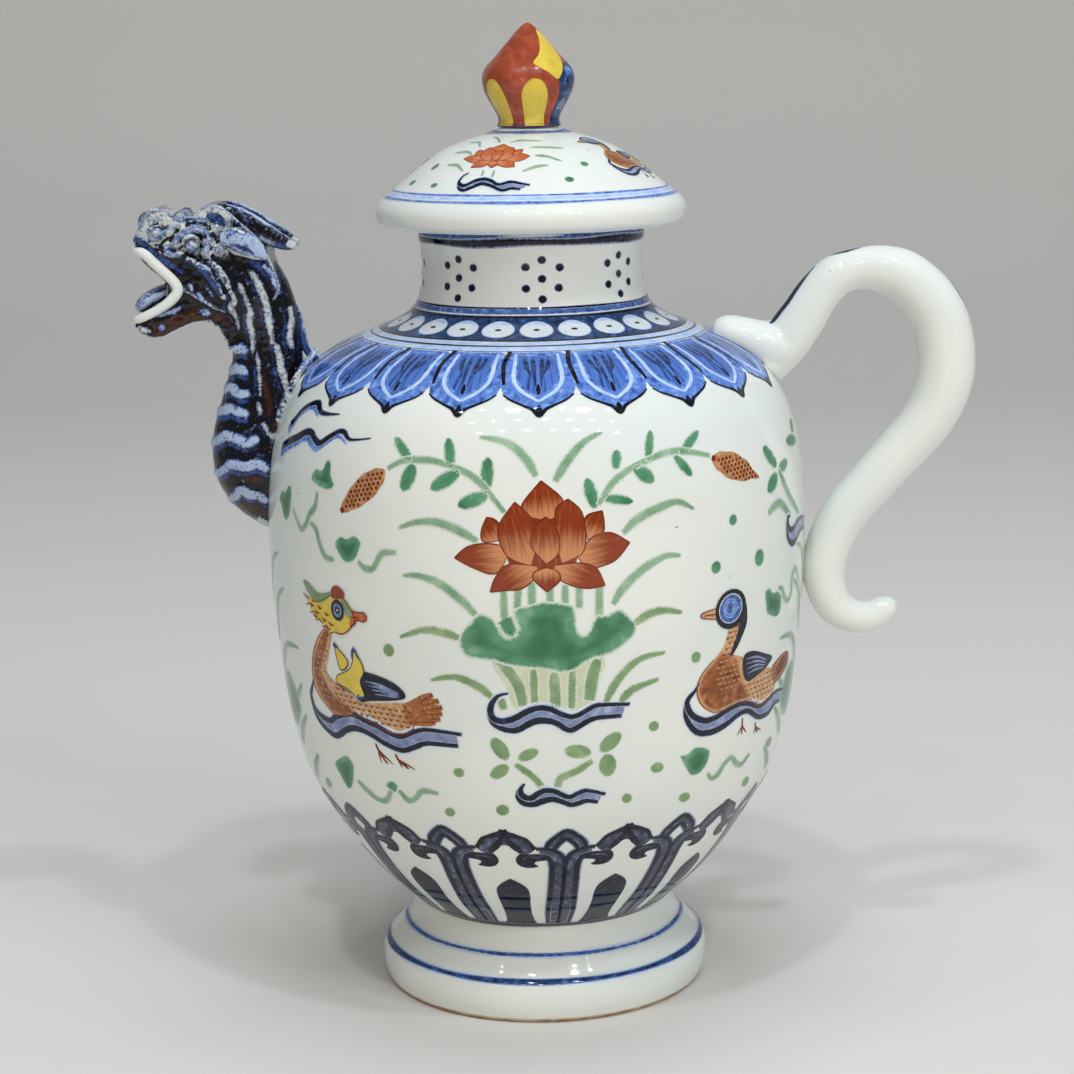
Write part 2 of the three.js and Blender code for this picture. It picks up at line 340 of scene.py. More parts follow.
class Pigment(Enum):
    """The colours on the painter's palette."""

    COBALT = Paint("underglaze_cobalt_wash", "#5e84d0", "#33529c", "#8aace6", 1.8, 0.5)
    MIDDLE_COBALT = Paint("underglaze_cobalt_brushed", "#4568aa", "#28427c", "#7d9cd0", 1.6, 0.5)
    DARK_COBALT = Paint("underglaze_cobalt_line", "#101222", "#07080d", "#222c54", 1.4, 0.6, onto="#a3b3d2")
    DEEP_COBALT = Paint("underglaze_cobalt_ground", "#4c72c0", "#1f3070", "#7595d4", 1.0, 0.3, True)
    NAVY = Paint("underglaze_cobalt_navy", "#26406e", "#14203e", "#4468a0", 1.8, 0.5, onto="#7f9ad0")
    PALE_COBALT = Paint("underglaze_cobalt_pale", "#b2ccf2", "#98bcee", "#c8dbf2", 3.0, 0.3)
    SLATE = Paint("underglaze_cobalt_slate", "#43485f", "#262a3c", "#686f8e", 1.8, 0.4, onto="#a3b3d2")
    WATER = Paint("underglaze_cobalt_water", "#7d8bb2", "#5f6d98", "#a2aed0", 2.6, 0.3)
    RESERVE = Paint("reserved_white", "#dbe3e8", "#cddaea", "#e0e6e6", 2.4, 0.2)
    GREEN = Paint(
        "copper_green_enamel", "#56906d", "#25603f", "#8ab898", 7.0, 0.5, deepens=0.75, onto="#cddad0",
        uneven=0.6
    )
    OLIVE = Paint(
        "copper_green_olive_enamel", "#7c9c70", "#5f8155", "#a9b89a", 5.0, 0.5, deepens=0.5, onto="#d3dbcf",
        uneven=0.6
    )
    PALE_GREEN = Paint(
        "thin_green_enamel", "#86a98c", "#668f70", "#adc4ae", 5.0, 0.5, deepens=0.4, onto="#d0dbd2",
        uneven=0.6
    )
    RUSH = Paint("green_enamel_film", "#c6ccb2", "#b6c2a0", "#d0d5c2", 6.0, 0.5)
    RED = Paint("iron_red_enamel", "#8e3a15", "#64200a", "#cc8f62", 0.7, 0.2, True, 0.85, 0.3, uneven=0.3)
    ORANGE = Paint("thin_iron_red_enamel", "#bd6038", "#9a4526", "#dba075", 0.9, 0.2, True, 0.5, uneven=0.5)
    RED_LINE = Paint("iron_red_outline", "#742a0e", "#5c1e08", "#8e4220", 0.9, 0.3)
    BREAST = Paint(
        "iron_red_wash_on_buff", "#96552a", "#66340f", "#b27a46", 2.4, 0.3, deepens=0.5, onto="#c4986a"
    )
    BROWN_TAIL = Paint("brown_iron_enamel", "#a06436", "#824a24", "#be8a58", 0.9, 0.2)
    BUFF = Paint("buff_enamel", "#c79f74", "#b08352", "#d8b88e", 1.4, 0.3)
    HUSK = Paint("brown_seed_enamel", "#b08058", "#96633c", "#c69c76", 2.0, 0.3)
    YELLOW = Paint("antimony_yellow_enamel", "#d9c04a", "#c2a436", "#e4d272", 3.4, 0.2, uneven=0.45)
    BLACK = Paint("manganese_black_line", "#12141f", "#0a0b12", "#28304f", 0.9, 0.4)


def mesh_from(name: str, made: Shape) -> bpy.types.Mesh:
    """Turn a bmesh into a mesh called name, and free it."""
    mesh = bpy.data.meshes.new(name)
    made.to_mesh(mesh)
    made.free()
    return mesh


def placed(name: str, data: bpy.types.ID) -> bpy.types.Object:
    """Put a mesh, a lamp or a camera in the scene under name."""
    thing = bpy.data.objects.new(name, data)
    bpy.context.scene.collection.objects.link(thing)
    return thing


def piece_from(
    name: str, made: Shape, material: bpy.types.Material, body: str
) -> bpy.types.Object:
    """Turn a bmesh into a smooth-shaded piece that rides on a body.

    Args:
        name: The piece's name.
        made: Its shape, in metres, which is freed.
        material: Its finish.
        body: The CAD body that it rides on.

    Returns:
        The new object.
    """
    mesh = mesh_from(name, made)
    mesh.shade_smooth()
    mesh.materials.append(material)
    piece = placed(name, mesh)
    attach(piece, body)
    LOG.info("%s made, %d faces, on %s", name, len(mesh.polygons), body)
    return piece


@dataclass
class Skin:
    """A turned surface about the pot's axis, from a profile of radius and height in millimetres."""

    profile: Path
    axis_x: float
    per_span: int = 6
    line: list[Point] = field(init=False)
    runs: list[float] = field(init=False)

    def __post_init__(self) -> None:
        """Smooth the profile and measure the way along it."""
        self.line = smooth_line(self.profile, self.per_span)
        self.runs = [0.0]
        for a, b in zip(self.line, self.line[1:]):
            self.runs.append(self.runs[-1] + math.dist(a, b))

    def run_at(self, height: float) -> float:
        """The way along the profile to the first point that is height high, in millimetres."""
        for i, (a, b) in enumerate(zip(self.line, self.line[1:])):
            if a[1] != b[1] and min(a[1], b[1]) <= height <= max(a[1], b[1]):
                return self.runs[i] + (self.runs[i + 1] - self.runs[i]) * (height - a[1]) / (b[1] - a[1])
        return self.runs[-1]

    def section(self, run: float) -> tuple[float, float, Vector]:
        """The radius, the height and the outward direction at a way along the profile."""
        last = len(self.runs) - 2
        i = max(0, min(last, bisect.bisect_right(self.runs, run) - 1))
        a, b = self.line[i], self.line[i + 1]
        t = (run - self.runs[i]) / (self.runs[i + 1] - self.runs[i])
        back, ahead = self.line[max(0, i - 1)], self.line[min(last + 1, i + 2)]
        out = Vector((ahead[1] - back[1], back[0] - ahead[0])).normalized()
        return a[0] + (b[0] - a[0]) * t, a[1] + (b[1] - a[1]) * t, out

    def point(self, angle: float, run: float, lift: float) -> Vector:
        """A point lift millimetres off the skin. Angle 0 faces the front, and grows towards +X."""
        radius, height, out = self.section(run)
        radius += out.x * lift
        height += out.y * lift
        return Vector(
            (self.axis_x + radius * math.sin(angle) * MM, -radius * math.cos(angle) * MM, height * MM)
        )

    def solid(self, closing: Path, steps: int) -> Shape:
        """Spin the skin, closed by further profile points, into one closed shell."""
        made = bmesh.new()
        verts = [made.verts.new((self.axis_x + r * MM, 0, z * MM)) for r, z in (*self.line, *closing)]
        ends = list(zip(verts, verts[1:] + verts[:1]))
        edges = [made.edges.new(pair) for pair in ends if max(v.co.x for v in pair) > self.axis_x + 1e-9]
        turn = {"cent": (self.axis_x, 0, 0), "axis": (0, 0, 1), "angle": 2 * math.pi, "steps": steps}
        bmesh.ops.spin(made, geom=verts + edges, use_merge=True, **turn)
        bmesh.ops.remove_doubles(made, verts=made.verts, dist=1e-7)
        bmesh.ops.recalc_face_normals(made, faces=made.faces)
        return made


@dataclass(frozen=True)
class Canvas:
    """A place on a skin where a motif is painted, in millimetres across and up from its middle.

    Where fan is set, a motif keeps to its share of the turn as it runs down the skin: x is a length on a
    circle of that radius, so at ONE_DEGREE it is an angle in degrees.
    """

    skin: Skin
    angle: float
    run: float
    flip: float = 1.0
    scale: float = 1.0
    fan: float = 0.0

    def __call__(self, x: float, y: float, lift: float) -> Vector:
        """Put a point of the motif on the skin."""
        x, y = x * self.scale * self.flip, y * self.scale
        radius = self.fan or self.skin.section(self.run + y)[0]
        return self.skin.point(self.angle + x / radius, self.run + y, lift)


@dataclass
class Palette:
    """Paints one zone of the ewer: each pigment's strokes are collected into one thin enamel piece.

    The first stroke of a motif lies just off the glaze, and each later one a little higher. heart is a point
    that the zone's whole surface faces away from. path_step is the longest step along a stroke and thinnest
    its least half width, in millimetres. fade_reach is how many times its half width a thin stroke counts as
    deep, in fades, and deepest is where cover is full.
    """

    zone: str
    body: str
    heart: Vector
    fade_mm: float = 0.4
    first_lift: float = 0.04
    lift_step: float = 0.009
    path_step: float = 1.1
    thinnest: float = 0.04
    fade_reach: float = 1.7
    deepest: float = 6.0
    lift: float = 0.04
    fade: float = 0.4
    layers: dict[Pigment, Shape] = field(default_factory=dict)

    def begin(self, fade: float | None = None) -> None:
        """Start a motif that nothing else here lies under, with soft edges."""
        self.lift = self.first_lift
        self.fade = self.fade_mm if fade is None else fade

    def over(self, fade: float = 0.0) -> None:
        """Go on over paint that is already there, with hard edges or with a fade into what lies there."""
        self.fade = fade

    def layer(self, pigment: Pigment) -> tuple[Shape, Callable]:
        """The pigment's mesh, and a function that adds a point to it, lifted clear of the stroke before."""
        if pigment not in self.layers:
            made = self.layers[pigment] = bmesh.new()
            made.verts.layers.float.new("cover")
            made.verts.layers.float_vector.new("brush")
        made = self.layers[pigment]
        cover, brush = made.verts.layers.float["cover"], made.verts.layers.float_vector["brush"]
        self.lift += self.lift_step

        def touch(place: Placer, x: float, y: float, depth: float, way: Station) -> bmesh.types.BMVert:
            """Add a point at depth millimetres inside the paint's edge, way along the brush."""
            vert = made.verts.new(place(x, y, self.lift))
            vert[cover] = min(depth / self.fade, self.deepest) if self.fade else 0.5 * self.deepest
            vert[brush] = way
            return vert

        return made, touch

    def stroke(self, pigment: Pigment, place: Placer, path: Path, widths: Widths) -> None:
        """Lay a ribbon of paint along a path.

        Args:
            pigment: Its colour.
            place: Puts a point of the path on the surface.
            path: Points in millimetres, joined by a smooth curve.
            widths: Half widths in millimetres, spread evenly along the path.
        """
        made, touch = self.layer(pigment)
        longest = max(math.dist(a, b) for a, b in zip(path, path[1:]))
        line = [Vector(p) for p in smooth_line(path, max(3, math.ceil(longest / self.path_step)))]
        across = 2 if max(widths) < 0.7 else 4 if max(widths) < 2.4 else 6
        length = sum((b - a).length for a, b in zip(line, line[1:]))
        rows = []
        for i, spot in enumerate(line):
            t = i / (len(line) - 1)
            at = t * (len(widths) - 1)
            low = min(int(at), len(widths) - 2)
            share = (at - low) * (at - low) * (3 - 2 * (at - low))
            half = max(self.thinnest, widths[low] + (widths[low + 1] - widths[low]) * share)
            way = (line[min(i + 1, len(line) - 1)] - line[max(i - 1, 0)]).normalized()
            side = Vector((-way.y, way.x))
            row = []
            for k in range(across + 1):
                off = 2 * k / across - 1
                flat = spot + side * (off * half)
                inside = half * (1 - abs(off)) * max(1.0, self.fade_reach * self.fade / half)
                depth = min(inside, min(t, 1 - t) * length)
                row.append(touch(place, flat.x, flat.y, depth, (off * half, t * length, t)))
            rows.append(row)
        self.join(made, rows, rows[1:])

    @staticmethod
    def join(made: Shape, rows: Sequence[list], after: Sequence[list]) -> None:
        """Close a film between each row of points and the row after it."""
        for a, b in zip(rows, after):
            for k in range(len(a) - 1):
                made.faces.new((a[k], a[k + 1], b[k + 1], b[k]))

    def strokes(
        self, pigment: Pigment, place: Placer, paths: Iterable[Path], widths: Widths, fade: float = 0.5
    ) -> None:
        """Lay several strokes that don't cross, all alike, with soft edges."""
        for path in paths:
            self.begin(fade)
            self.stroke(pigment, place, path, widths)

    def fill(
        self, pigment: Pigment, place: Placer, *sides: Path, axis: Path = (), step: float = 2.2
    ) -> None:
        """Fill a closed outline with paint, with a soft rim.

        Args:
            pigment: Its colour.
            place: Puts a point of the outline on the surface.
            *sides: One smooth closed side, or several that meet in corners, in millimetres.
            axis: Where the brush starts and ends, where its streaks matter.
            step: The longest edge inside, so that the film follows the surface's curve.
        """
        made, touch = self.layer(pigment)
        flat = bmesh.new()
        edge = outline(*sides)
        rim = KDTree(len(edge))
        for i, (x, y) in enumerate(edge):
            rim.insert((x, y, 0), i)
        rim.balance()
        face = flat.faces.new([flat.verts.new((x, y, 0)) for x, y in edge])
        bmesh.ops.triangulate(flat, faces=[face])

        def too_long(e: bmesh.types.BMEdge) -> bool:
            """Whether an edge is cut: for its length, or because it would carry the rim's fade across."""
            spans = self.fade and not e.is_boundary and all(v.is_boundary for v in e.verts)
            return e.calc_length() > step or spans

        for _ in range(6):
            long = [e for e in flat.edges if too_long(e)]
            if not long:
                break
            bmesh.ops.subdivide_edges(flat, edges=long, cuts=1)
            bmesh.ops.triangulate(flat, faces=[f for f in flat.faces if len(f.verts) > 4])
        start, end = (Vector(p) for p in axis or ((0, 0), (0, 1)))
        length = (end - start).length
        along = (end - start) / length
        copies = {}
        for vert in flat.verts:
            off = vert.co.xy - start
            far = off.dot(along)
            way = (off.cross(along), far, far / length if axis else 1.0)
            depth = 0.0 if vert.is_boundary else 2 * rim.find(vert.co)[2]
            copies[vert] = touch(place, vert.co.x, vert.co.y, depth, way)
        for face in flat.faces:
            made.faces.new([copies[v] for v in face.verts])
        flat.free()

    def dot(
        self, pigment: Pigment, place: Placer, x: float, y: float, wide: float, tall: float = 0.0,
        tilt: float = 0.0
    ) -> None:
        """Touch a round dot of half sizes wide and tall, turned by tilt."""
        made, touch = self.layer(pigment)
        tall = tall or wide
        rim = min(self.fade / min(wide, tall), 0.6)
        rings = sorted({0.0, 0.5 * (1 - rim), 1 - rim, 1.0})
        c, s = math.cos(tilt), math.sin(tilt)
        sides = 20 if max(wide, tall) > 1.5 else 12
        centre = touch(place, x, y, 2 * self.fade, (0, 0, 1))
        before = None
        for share in rings[1:]:
            depth = 0.0 if share == 1 else 2 * self.fade
            ring = []
            for i in range(sides):
                angle = 2 * math.pi * i / sides
                dx, dy = wide * share * math.cos(angle), tall * share * math.sin(angle)
                ring.append(touch(place, x + dx * c - dy * s, y + dx * s + dy * c, depth, (dx, dy, 1)))
            for i in range(sides):
                k = (i + 1) % sides
                corners = (before[i], ring[i], ring[k], before[k]) if before else (centre, ring[i], ring[k])
                made.faces.new(corners)
            before = ring

    def line(
        self, pigment: Pigment, skin: Skin, run: float, half: float, waver: float = 0.0, turns: int = 200
    ) -> None:
        """Run a brushed line right round a turned piece.

        Args:
            pigment: Its colour.
            skin: The turned surface.
            run: The way along the profile to the line's middle, in millimetres.
            half: Half the line's width.
            waver: How far the hand strays, in millimetres.
            turns: Steps round the piece.
        """
        made, touch = self.layer(pigment)
        across = max(2, 2 * math.ceil(half / 0.9))
        rings = []
        for i in range(turns):
            angle = 2 * math.pi * i / turns
            stray = waver * (math.sin(3 * angle + run) + 0.6 * math.sin(7 * angle + 2 * run)) / 1.6
            width = half * (1 + 0.2 * math.sin(5 * angle + 3 * run) * bool(waver))
            place = Canvas(skin, angle, run + stray)
            ring = []
            for k in range(across + 1):
                off = 2 * k / across - 1
                depth = width * (1 - abs(off)) * max(1.0, self.fade_reach * self.fade / width)
                ring.append(touch(place, 0, off * width, depth, (off * width, angle * 40, 1)))
            rings.append(ring)
        self.join(made, rings, rings[1:] + rings[:1])

    def pieces(self) -> None:
        """Fire the zone: turn its films to face away from its heart, and make each pigment's piece."""
        for pigment, made in self.layers.items():
            made.normal_update()
            turned_in = [f for f in made.faces if f.normal.dot(f.calc_center_median() - self.heart) < 0]
            bmesh.ops.reverse_faces(made, faces=turned_in)
            name = f"{self.zone}_{pigment.name.lower()}"
            piece_from(name, made, pigment.value.material(), self.body)


def loft(stations: Stations, sides: int, per_span: int, squash: float = 1.0, heart: Station = ()) -> Shape:
    """Draw a round tube along stations, with closed ends.

    Args:
        stations: Each as x, z and radius in millimetres, with an optional y at the end.
        sides: Points round the tube.
        per_span: Rings between two stations.
        squash: How much narrower the tube is across the plane y = 0.
        heart: The point x, y, z that the tube bends round where it leaves that plane.

    Returns:
        The closed tube, in metres.
    """
    made = bmesh.new()
    line = smooth_line([(*s, 0.0) if len(s) == 3 else tuple(s) for s in stations], per_span)
    frames = []
    for i, (x, z, radius, y) in enumerate(line):
        ahead, back = line[min(i + 1, len(line) - 1)], line[max(i - 1, 0)]
        along = Vector((ahead[0] - back[0], ahead[3] - back[3], ahead[1] - back[1])).normalized()
        outward = Vector((x, y, z)) - Vector(heart) if heart else Vector((0, 1, 0)).cross(along)
        side = (outward - along * outward.dot(along)).normalized()
        turn = Matrix((side, along.cross(side), along)).transposed().to_4x4()
        size = Matrix.Diagonal((radius * MM, radius * squash * MM, MM, 1))
        frames.append(Matrix.Translation(Vector((x, y, z)) * MM) @ turn @ size)
    bmesh.ops.create_circle(made, segments=sides, radius=1, matrix=frames[0])
    edges = list(made.edges)
    bmesh.ops.contextual_create(made, geom=edges)
    for before, after in zip(frames, frames[1:]):
        grown = bmesh.ops.extrude_edge_only(made, edges=edges)["geom"]
        verts = [g for g in grown if isinstance(g, bmesh.types.BMVert)]
        edges = [g for g in grown if isinstance(g, bmesh.types.BMEdge) and all(v in verts for v in g.verts)]
        bmesh.ops.transform(made, matrix=after @ before.inverted(), verts=verts)
    bmesh.ops.contextual_create(made, geom=edges)
    bmesh.ops.recalc_face_normals(made, faces=made.faces)
    return made


def pebble(centre: Sequence[float], radius: float, detail: int = 4) -> Shape:
    """A ball of clay, in millimetres."""
    made = bmesh.new()
    size = Matrix.Diagonal((radius * MM, radius * MM, radius * MM, 1))
    place = Matrix.Translation(Vector(centre) * MM) @ size
    bmesh.ops.create_icosphere(made, subdivisions=detail, radius=1, matrix=place)
    return made


def pillow(side: Path, half_width: float, rounding: Path, per_span: int = 5) -> Shape:
    """A slab with rounded edges from a side outline of x and z, centred on y = 0.

    Args:
        side: Corner points in millimetres, joined by a smooth closed curve.
        half_width: Half its width in Y at the outline's edge.
        rounding: Each step inwards and outwards, in millimetres, that rounds the slab towards its middle.
        per_span: Steps between two points of the outline.

    Returns:
        The closed slab, in metres.
    """
    made = bmesh.new()
    edge = smooth_line(side, per_span, closed=True)
    face = made.faces.new([made.verts.new((x * MM, -half_width * MM, z * MM)) for x, z in edge])
    face.normal_update()
    if face.normal.y > 0:
        face.normal_flip()
    for inward, outward in rounding:
        step = {"thickness": inward * MM, "depth": outward * MM}
        bmesh.ops.inset_region(made, faces=[face], use_even_offset=True, **step)
    bmesh.ops.triangulate(made, faces=[face])
    whole = list(made.verts) + list(made.edges) + list(made.faces)
    bmesh.ops.mirror(made, geom=whole, axis="Y", merge_dist=-1)
    bmesh.ops.bridge_loops(made, edges=[e for e in made.edges if e.is_boundary])
    bmesh.ops.recalc_face_normals(made, faces=made.faces)
    return made


def joined(parts: Iterable[Shape]) -> Shape:
    """Put several shapes in one bmesh."""
    out = bmesh.new()
    for part in parts:
        mesh = mesh_from("part", part)
        out.from_mesh(mesh)
        bpy.data.meshes.remove(mesh)
    return out


def moulded(
    parts: Iterable[Shape], voxel_mm: float, smoothing: int, bore: Shape | None = None
) -> Shape:
    """Press overlapping clay shapes into one smooth skin, as slip and a wet brush do.

    Args:
        parts: The closed shapes.
        voxel_mm: The grain of the new skin.
        smoothing: Rounds of smoothing.
        bore: What is cut out of the clay.

    Returns:
        One closed shape.
    """
    shapes = {"clay": joined(parts)} | ({"bore": bore} if bore else {})
    things = [placed(name, mesh_from(name, made)) for name, made in shapes.items()]
    clay = things[0]

    def press(name: str) -> None:
        """Wrap the clay in a new skin."""
        skin = clay.modifiers.new(name, "REMESH")
        skin.mode = "VOXEL"
        skin.voxel_size = voxel_mm * MM

    press("press")
    if bore:
        cut = clay.modifiers.new("cut", "BOOLEAN")
        cut.operation = "DIFFERENCE"
        cut.object = things[1]
        cut.solver = "EXACT"
        press("press_again")
    soften = clay.modifiers.new("brush", "SMOOTH")
    soften.factor = 0.5
    soften.iterations = smoothing
    bpy.context.view_layer.update()
    shaped = bpy.data.meshes.new_from_object(clay.evaluated_get(bpy.context.evaluated_depsgraph_get()))
    out = bmesh.new()
    out.from_mesh(shaped)
    for thing in things:
        bpy.data.objects.remove(thing)
    bpy.data.meshes.remove(shaped)
    return out


def shifted(made: Shape, axis_x: float) -> Shape:
    """Move a shape from the pot's axis to where the frame has that axis."""
    bmesh.ops.translate(made, vec=(axis_x, 0, 0), verts=made.verts)
    return made


@dataclass
class Pot:
    """The thrown pieces: foot, body and neck. All sizes are millimetres about the pot's axis."""

    axis_x: float
    wall: float = 4.0
    steps: int = 160
    biscuit_top: float = 1.2
    foot: Path = (
        (46.2, 0), (46.9, 0.5), (47.4, 1.2), (47.9, 2.4), (48.5, 5), (48.5, 8.5), (47.6, 11.6), (45.8, 13.2),
        (43.6, 15.6), (41.8, 17.6), (40.4, 18.8), (38.9, 22), (37.9, 25.4),
    )
    body: Path = (
        (37.9, 25.5), (41.2, 28.6), (49.3, 36.4), (56.5, 45.5), (62.2, 54.5), (67.2, 63), (70.6, 71.5),
        (73.4, 83), (75.3, 95.5), (76.8, 109), (77.75, 123), (78.1, 137), (77.85, 149), (76.8, 159),
        (74.6, 168), (71, 176.4), (65.6, 183.4), (58.2, 188.8), (49.8, 192.6), (42, 195.8), (36.4, 198.6),
        (33.9, 201),
    )
    neck: Path = (
        (33.9, 201), (32.4, 204.4), (31.7, 209), (31.5, 214), (31.9, 218), (32.4, 221), (32, 222.8),
        (31, 223.2),
    )

    def build(self) -> dict[str, Skin]:
        """Turn the three pieces and return their skins for the painter."""
        skins = {name: Skin(getattr(self, name), self.axis_x) for name in ("foot", "body", "neck")}
        glaze = ClearGlaze().material()
        inside = [(r - self.wall, max(z, 30.5)) for r, z in reversed(self.body[2:-2])]
        closings = {
            "foot": [(32, 25.4), (32.5, 18), (37.5, 6), (40.3, 1.2), (40.8, 0.4), (41.4, 0)],
            "body": [(29.4, 201), (29.4, 196.4), *inside, (0, 30.5), (0, 25.8), (33, 25.6)],
            "neck": [(29.5, 223.2), (28.6, 222.4), (28.4, 201)],
        }
        nodes = {"foot": "foot_ring", "body": "vessel_body", "neck": "neck_collar"}
        for name, skin in skins.items():
            made = skin.solid(closings[name], self.steps)
            for face in made.faces:
                face.material_index = int(
                    name == "foot" and face.calc_center_median().z < self.biscuit_top * MM
                )
            piece = piece_from(f"{name}_glazed", made, glaze, "ewer")
            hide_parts(nodes[name])
            if name == "foot":
                piece.data.materials.append(Biscuit().material())
        return skins


@dataclass
class Lid:
    """The domed lid, its flange and its bud. All sizes are millimetres about the pot's axis."""

    axis_x: float
    steps: int = 144
    dome: Path = (
        (41.4, 223.6), (43.6, 224.8), (44.4, 227.2), (44.1, 229.2), (42.8, 231.2), (40.4, 233), (36.2, 236.4),
        (31.2, 240.6), (24.6, 245), (18.6, 247.4), (11.8, 249.5), (9.2, 250.5), (7, 250.6), (0, 250.6),
    )
    dome_inside: Path = (
        (0, 245.6), (12, 244.6), (22, 241.2), (29.5, 236), (31, 231.5), (24, 227), (24, 223.6)
    )
    flange: Path = ((24.2, 212.8), (26.6, 212.7), (27.1, 213.4), (27.4, 223.1), (24.2, 223.1))
    finial: Path = (
        (0, 250.7), (8.4, 250.9), (8.6, 252.4), (8.8, 254), (10.2, 256.6), (12.4, 260.8), (13.1, 264.4),
        (12.2, 267.4), (9.6, 270.4), (6.6, 273.8), (3.6, 277.2), (1.4, 279.3), (0, 279.95),
    )

    def build(self) -> dict[str, Skin]:
        """Turn the pieces and return the dome's and the finial's skins for the painter."""
        glaze = ClearGlaze().material()
        skins = {"dome": Skin(self.dome, self.axis_x), "finial": Skin(self.finial, self.axis_x)}
        skins["flange"] = Skin(self.flange, self.axis_x, per_span=1)
        closings = {"dome": self.dome_inside, "flange": (), "finial": ()}
        for name, skin in skins.items():
            finish = RedGround().material() if name == "finial" else glaze
            piece = piece_from(
                f"lid_{name}_glazed", skin.solid(closings[name], self.steps), finish, "lid"
            )
            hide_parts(f"lid_{name}")
        return skins


@dataclass
class Handle:
    """The rolled S-shaped handle with its luted root and curled tail, in millimetres about the pot's axis."""

    axis_x: float
    loop: Stations = (
        (66, 182, 7.5), (72.7, 188.2, 7.2), (77.6, 194.8, 6.9), (82, 201.5, 6.4), (87, 206.6, 6.1),
        (93.2, 208.7, 5.9), (100.5, 208.6, 6.8), (108.4, 205.4, 7.6), (117, 194.9, 8.2), (119.4, 179.4, 8.4),
        (114.4, 165.2, 7.7), (101.6, 150.4, 7), (89.6, 136.4, 6.8), (84.4, 124, 6.6), (84.7, 116, 6.1),
        (88, 109.3, 5.6), (94.2, 106.2, 5), (99.6, 107.2, 4.4), (103, 109.8, 3.5), (104.4, 111.6, 1.6),
    )
    root: Stations = (
        (51.6, 192.3, 2.6), (54.6, 191.4, 5), (59.5, 189.8, 6), (65, 187.8, 6.8), (70.5, 186.6, 6.8),
        (74, 187.6, 5.5),
    )
    root_width: float = 1.25
    thick: float = 6.5
    stripes: Sequence[tuple[Path, Widths]] = (
        (((10.5, -2.6), (14, -1.6), (19, -2), (24, -1.6), (30.5, -1)), (0.6, 1.7, 1.5, 1.6, 0.5)),
        (((34, -0.4), (37, -1), (41, -0.6)), (0.4, 1.5, 0.4)),
        (((62, -0.8), (66, -1.6), (70.5, -1)), (0.2, 0.4, 0.2)),
    )

    def build(self) -> None:
        """Mould the handle in one skin with its root, as slip joins them, and draw its blue spine."""
        clay = [loft(self.loop, 40, 6), loft(self.root, 32, 5, self.root_width)]
        made = moulded(clay, 0.8, 5)
        tree = BVHTree.FromBMesh(made)
        line = smooth_line([s[:2] for s in self.loop], 6)
        runs = [0.0]
        for a, b in zip(line, line[1:]):
            runs.append(runs[-1] + math.dist(a, b))

        def spine(x: float, y: float, lift: float) -> Vector:
            """The point x along the loop's outer side, y across it and lift above it, in millimetres."""
            i = min(bisect.bisect_right(runs, x), len(line) - 1)
            t = (x - runs[i - 1]) / (runs[i] - runs[i - 1])
            centre = Vector(line[i - 1]).lerp(Vector(line[i]), t)
            way = (Vector(line[i]) - Vector(line[i - 1])).normalized()
            turn = y / self.thick
            toward = Vector((-way.y * math.cos(turn), math.sin(turn), way.x * math.cos(turn)))
            hit, normal = tree.ray_cast(Vector((centre.x, 0, centre.y)) * MM, toward)[:2]
            return hit + normal * (lift * MM) + Vector((self.axis_x, 0, 0))

        piece = piece_from(
            "handle_glazed", shifted(made, self.axis_x), ClearGlaze().material(), "ewer"
        )
        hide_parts("handle_loop", "handle_root", "handle_tail")
        palette = Palette("handle", "ewer", Vector((self.axis_x + 100 * MM, 0, 170 * MM)))
        for path, widths in self.stripes:
            palette.strokes(Pigment.DARK_COBALT, spine, [path], widths, 0.6)
        palette.pieces()


@dataclass(frozen=True)
class Mark:
    """A band on the moulded beast, seen from the side, in millimetres about the pot's axis.

    tone names the layer of the glaze, path has x and z, half is its half width along the way, relief is how
    far it stands out, and share is how much of the ground it hides.
    """

    tone: str
    path: Path
    half: Widths
    relief: float = 0.0
    soft: float = 0.7
    share: float = 1.0


TONES = ("cobalt", "brown", "pale", "cream")
LUMP_SIZE = 1.9  # How wide the lumps of the beast's thick glaze are, in millimetres.


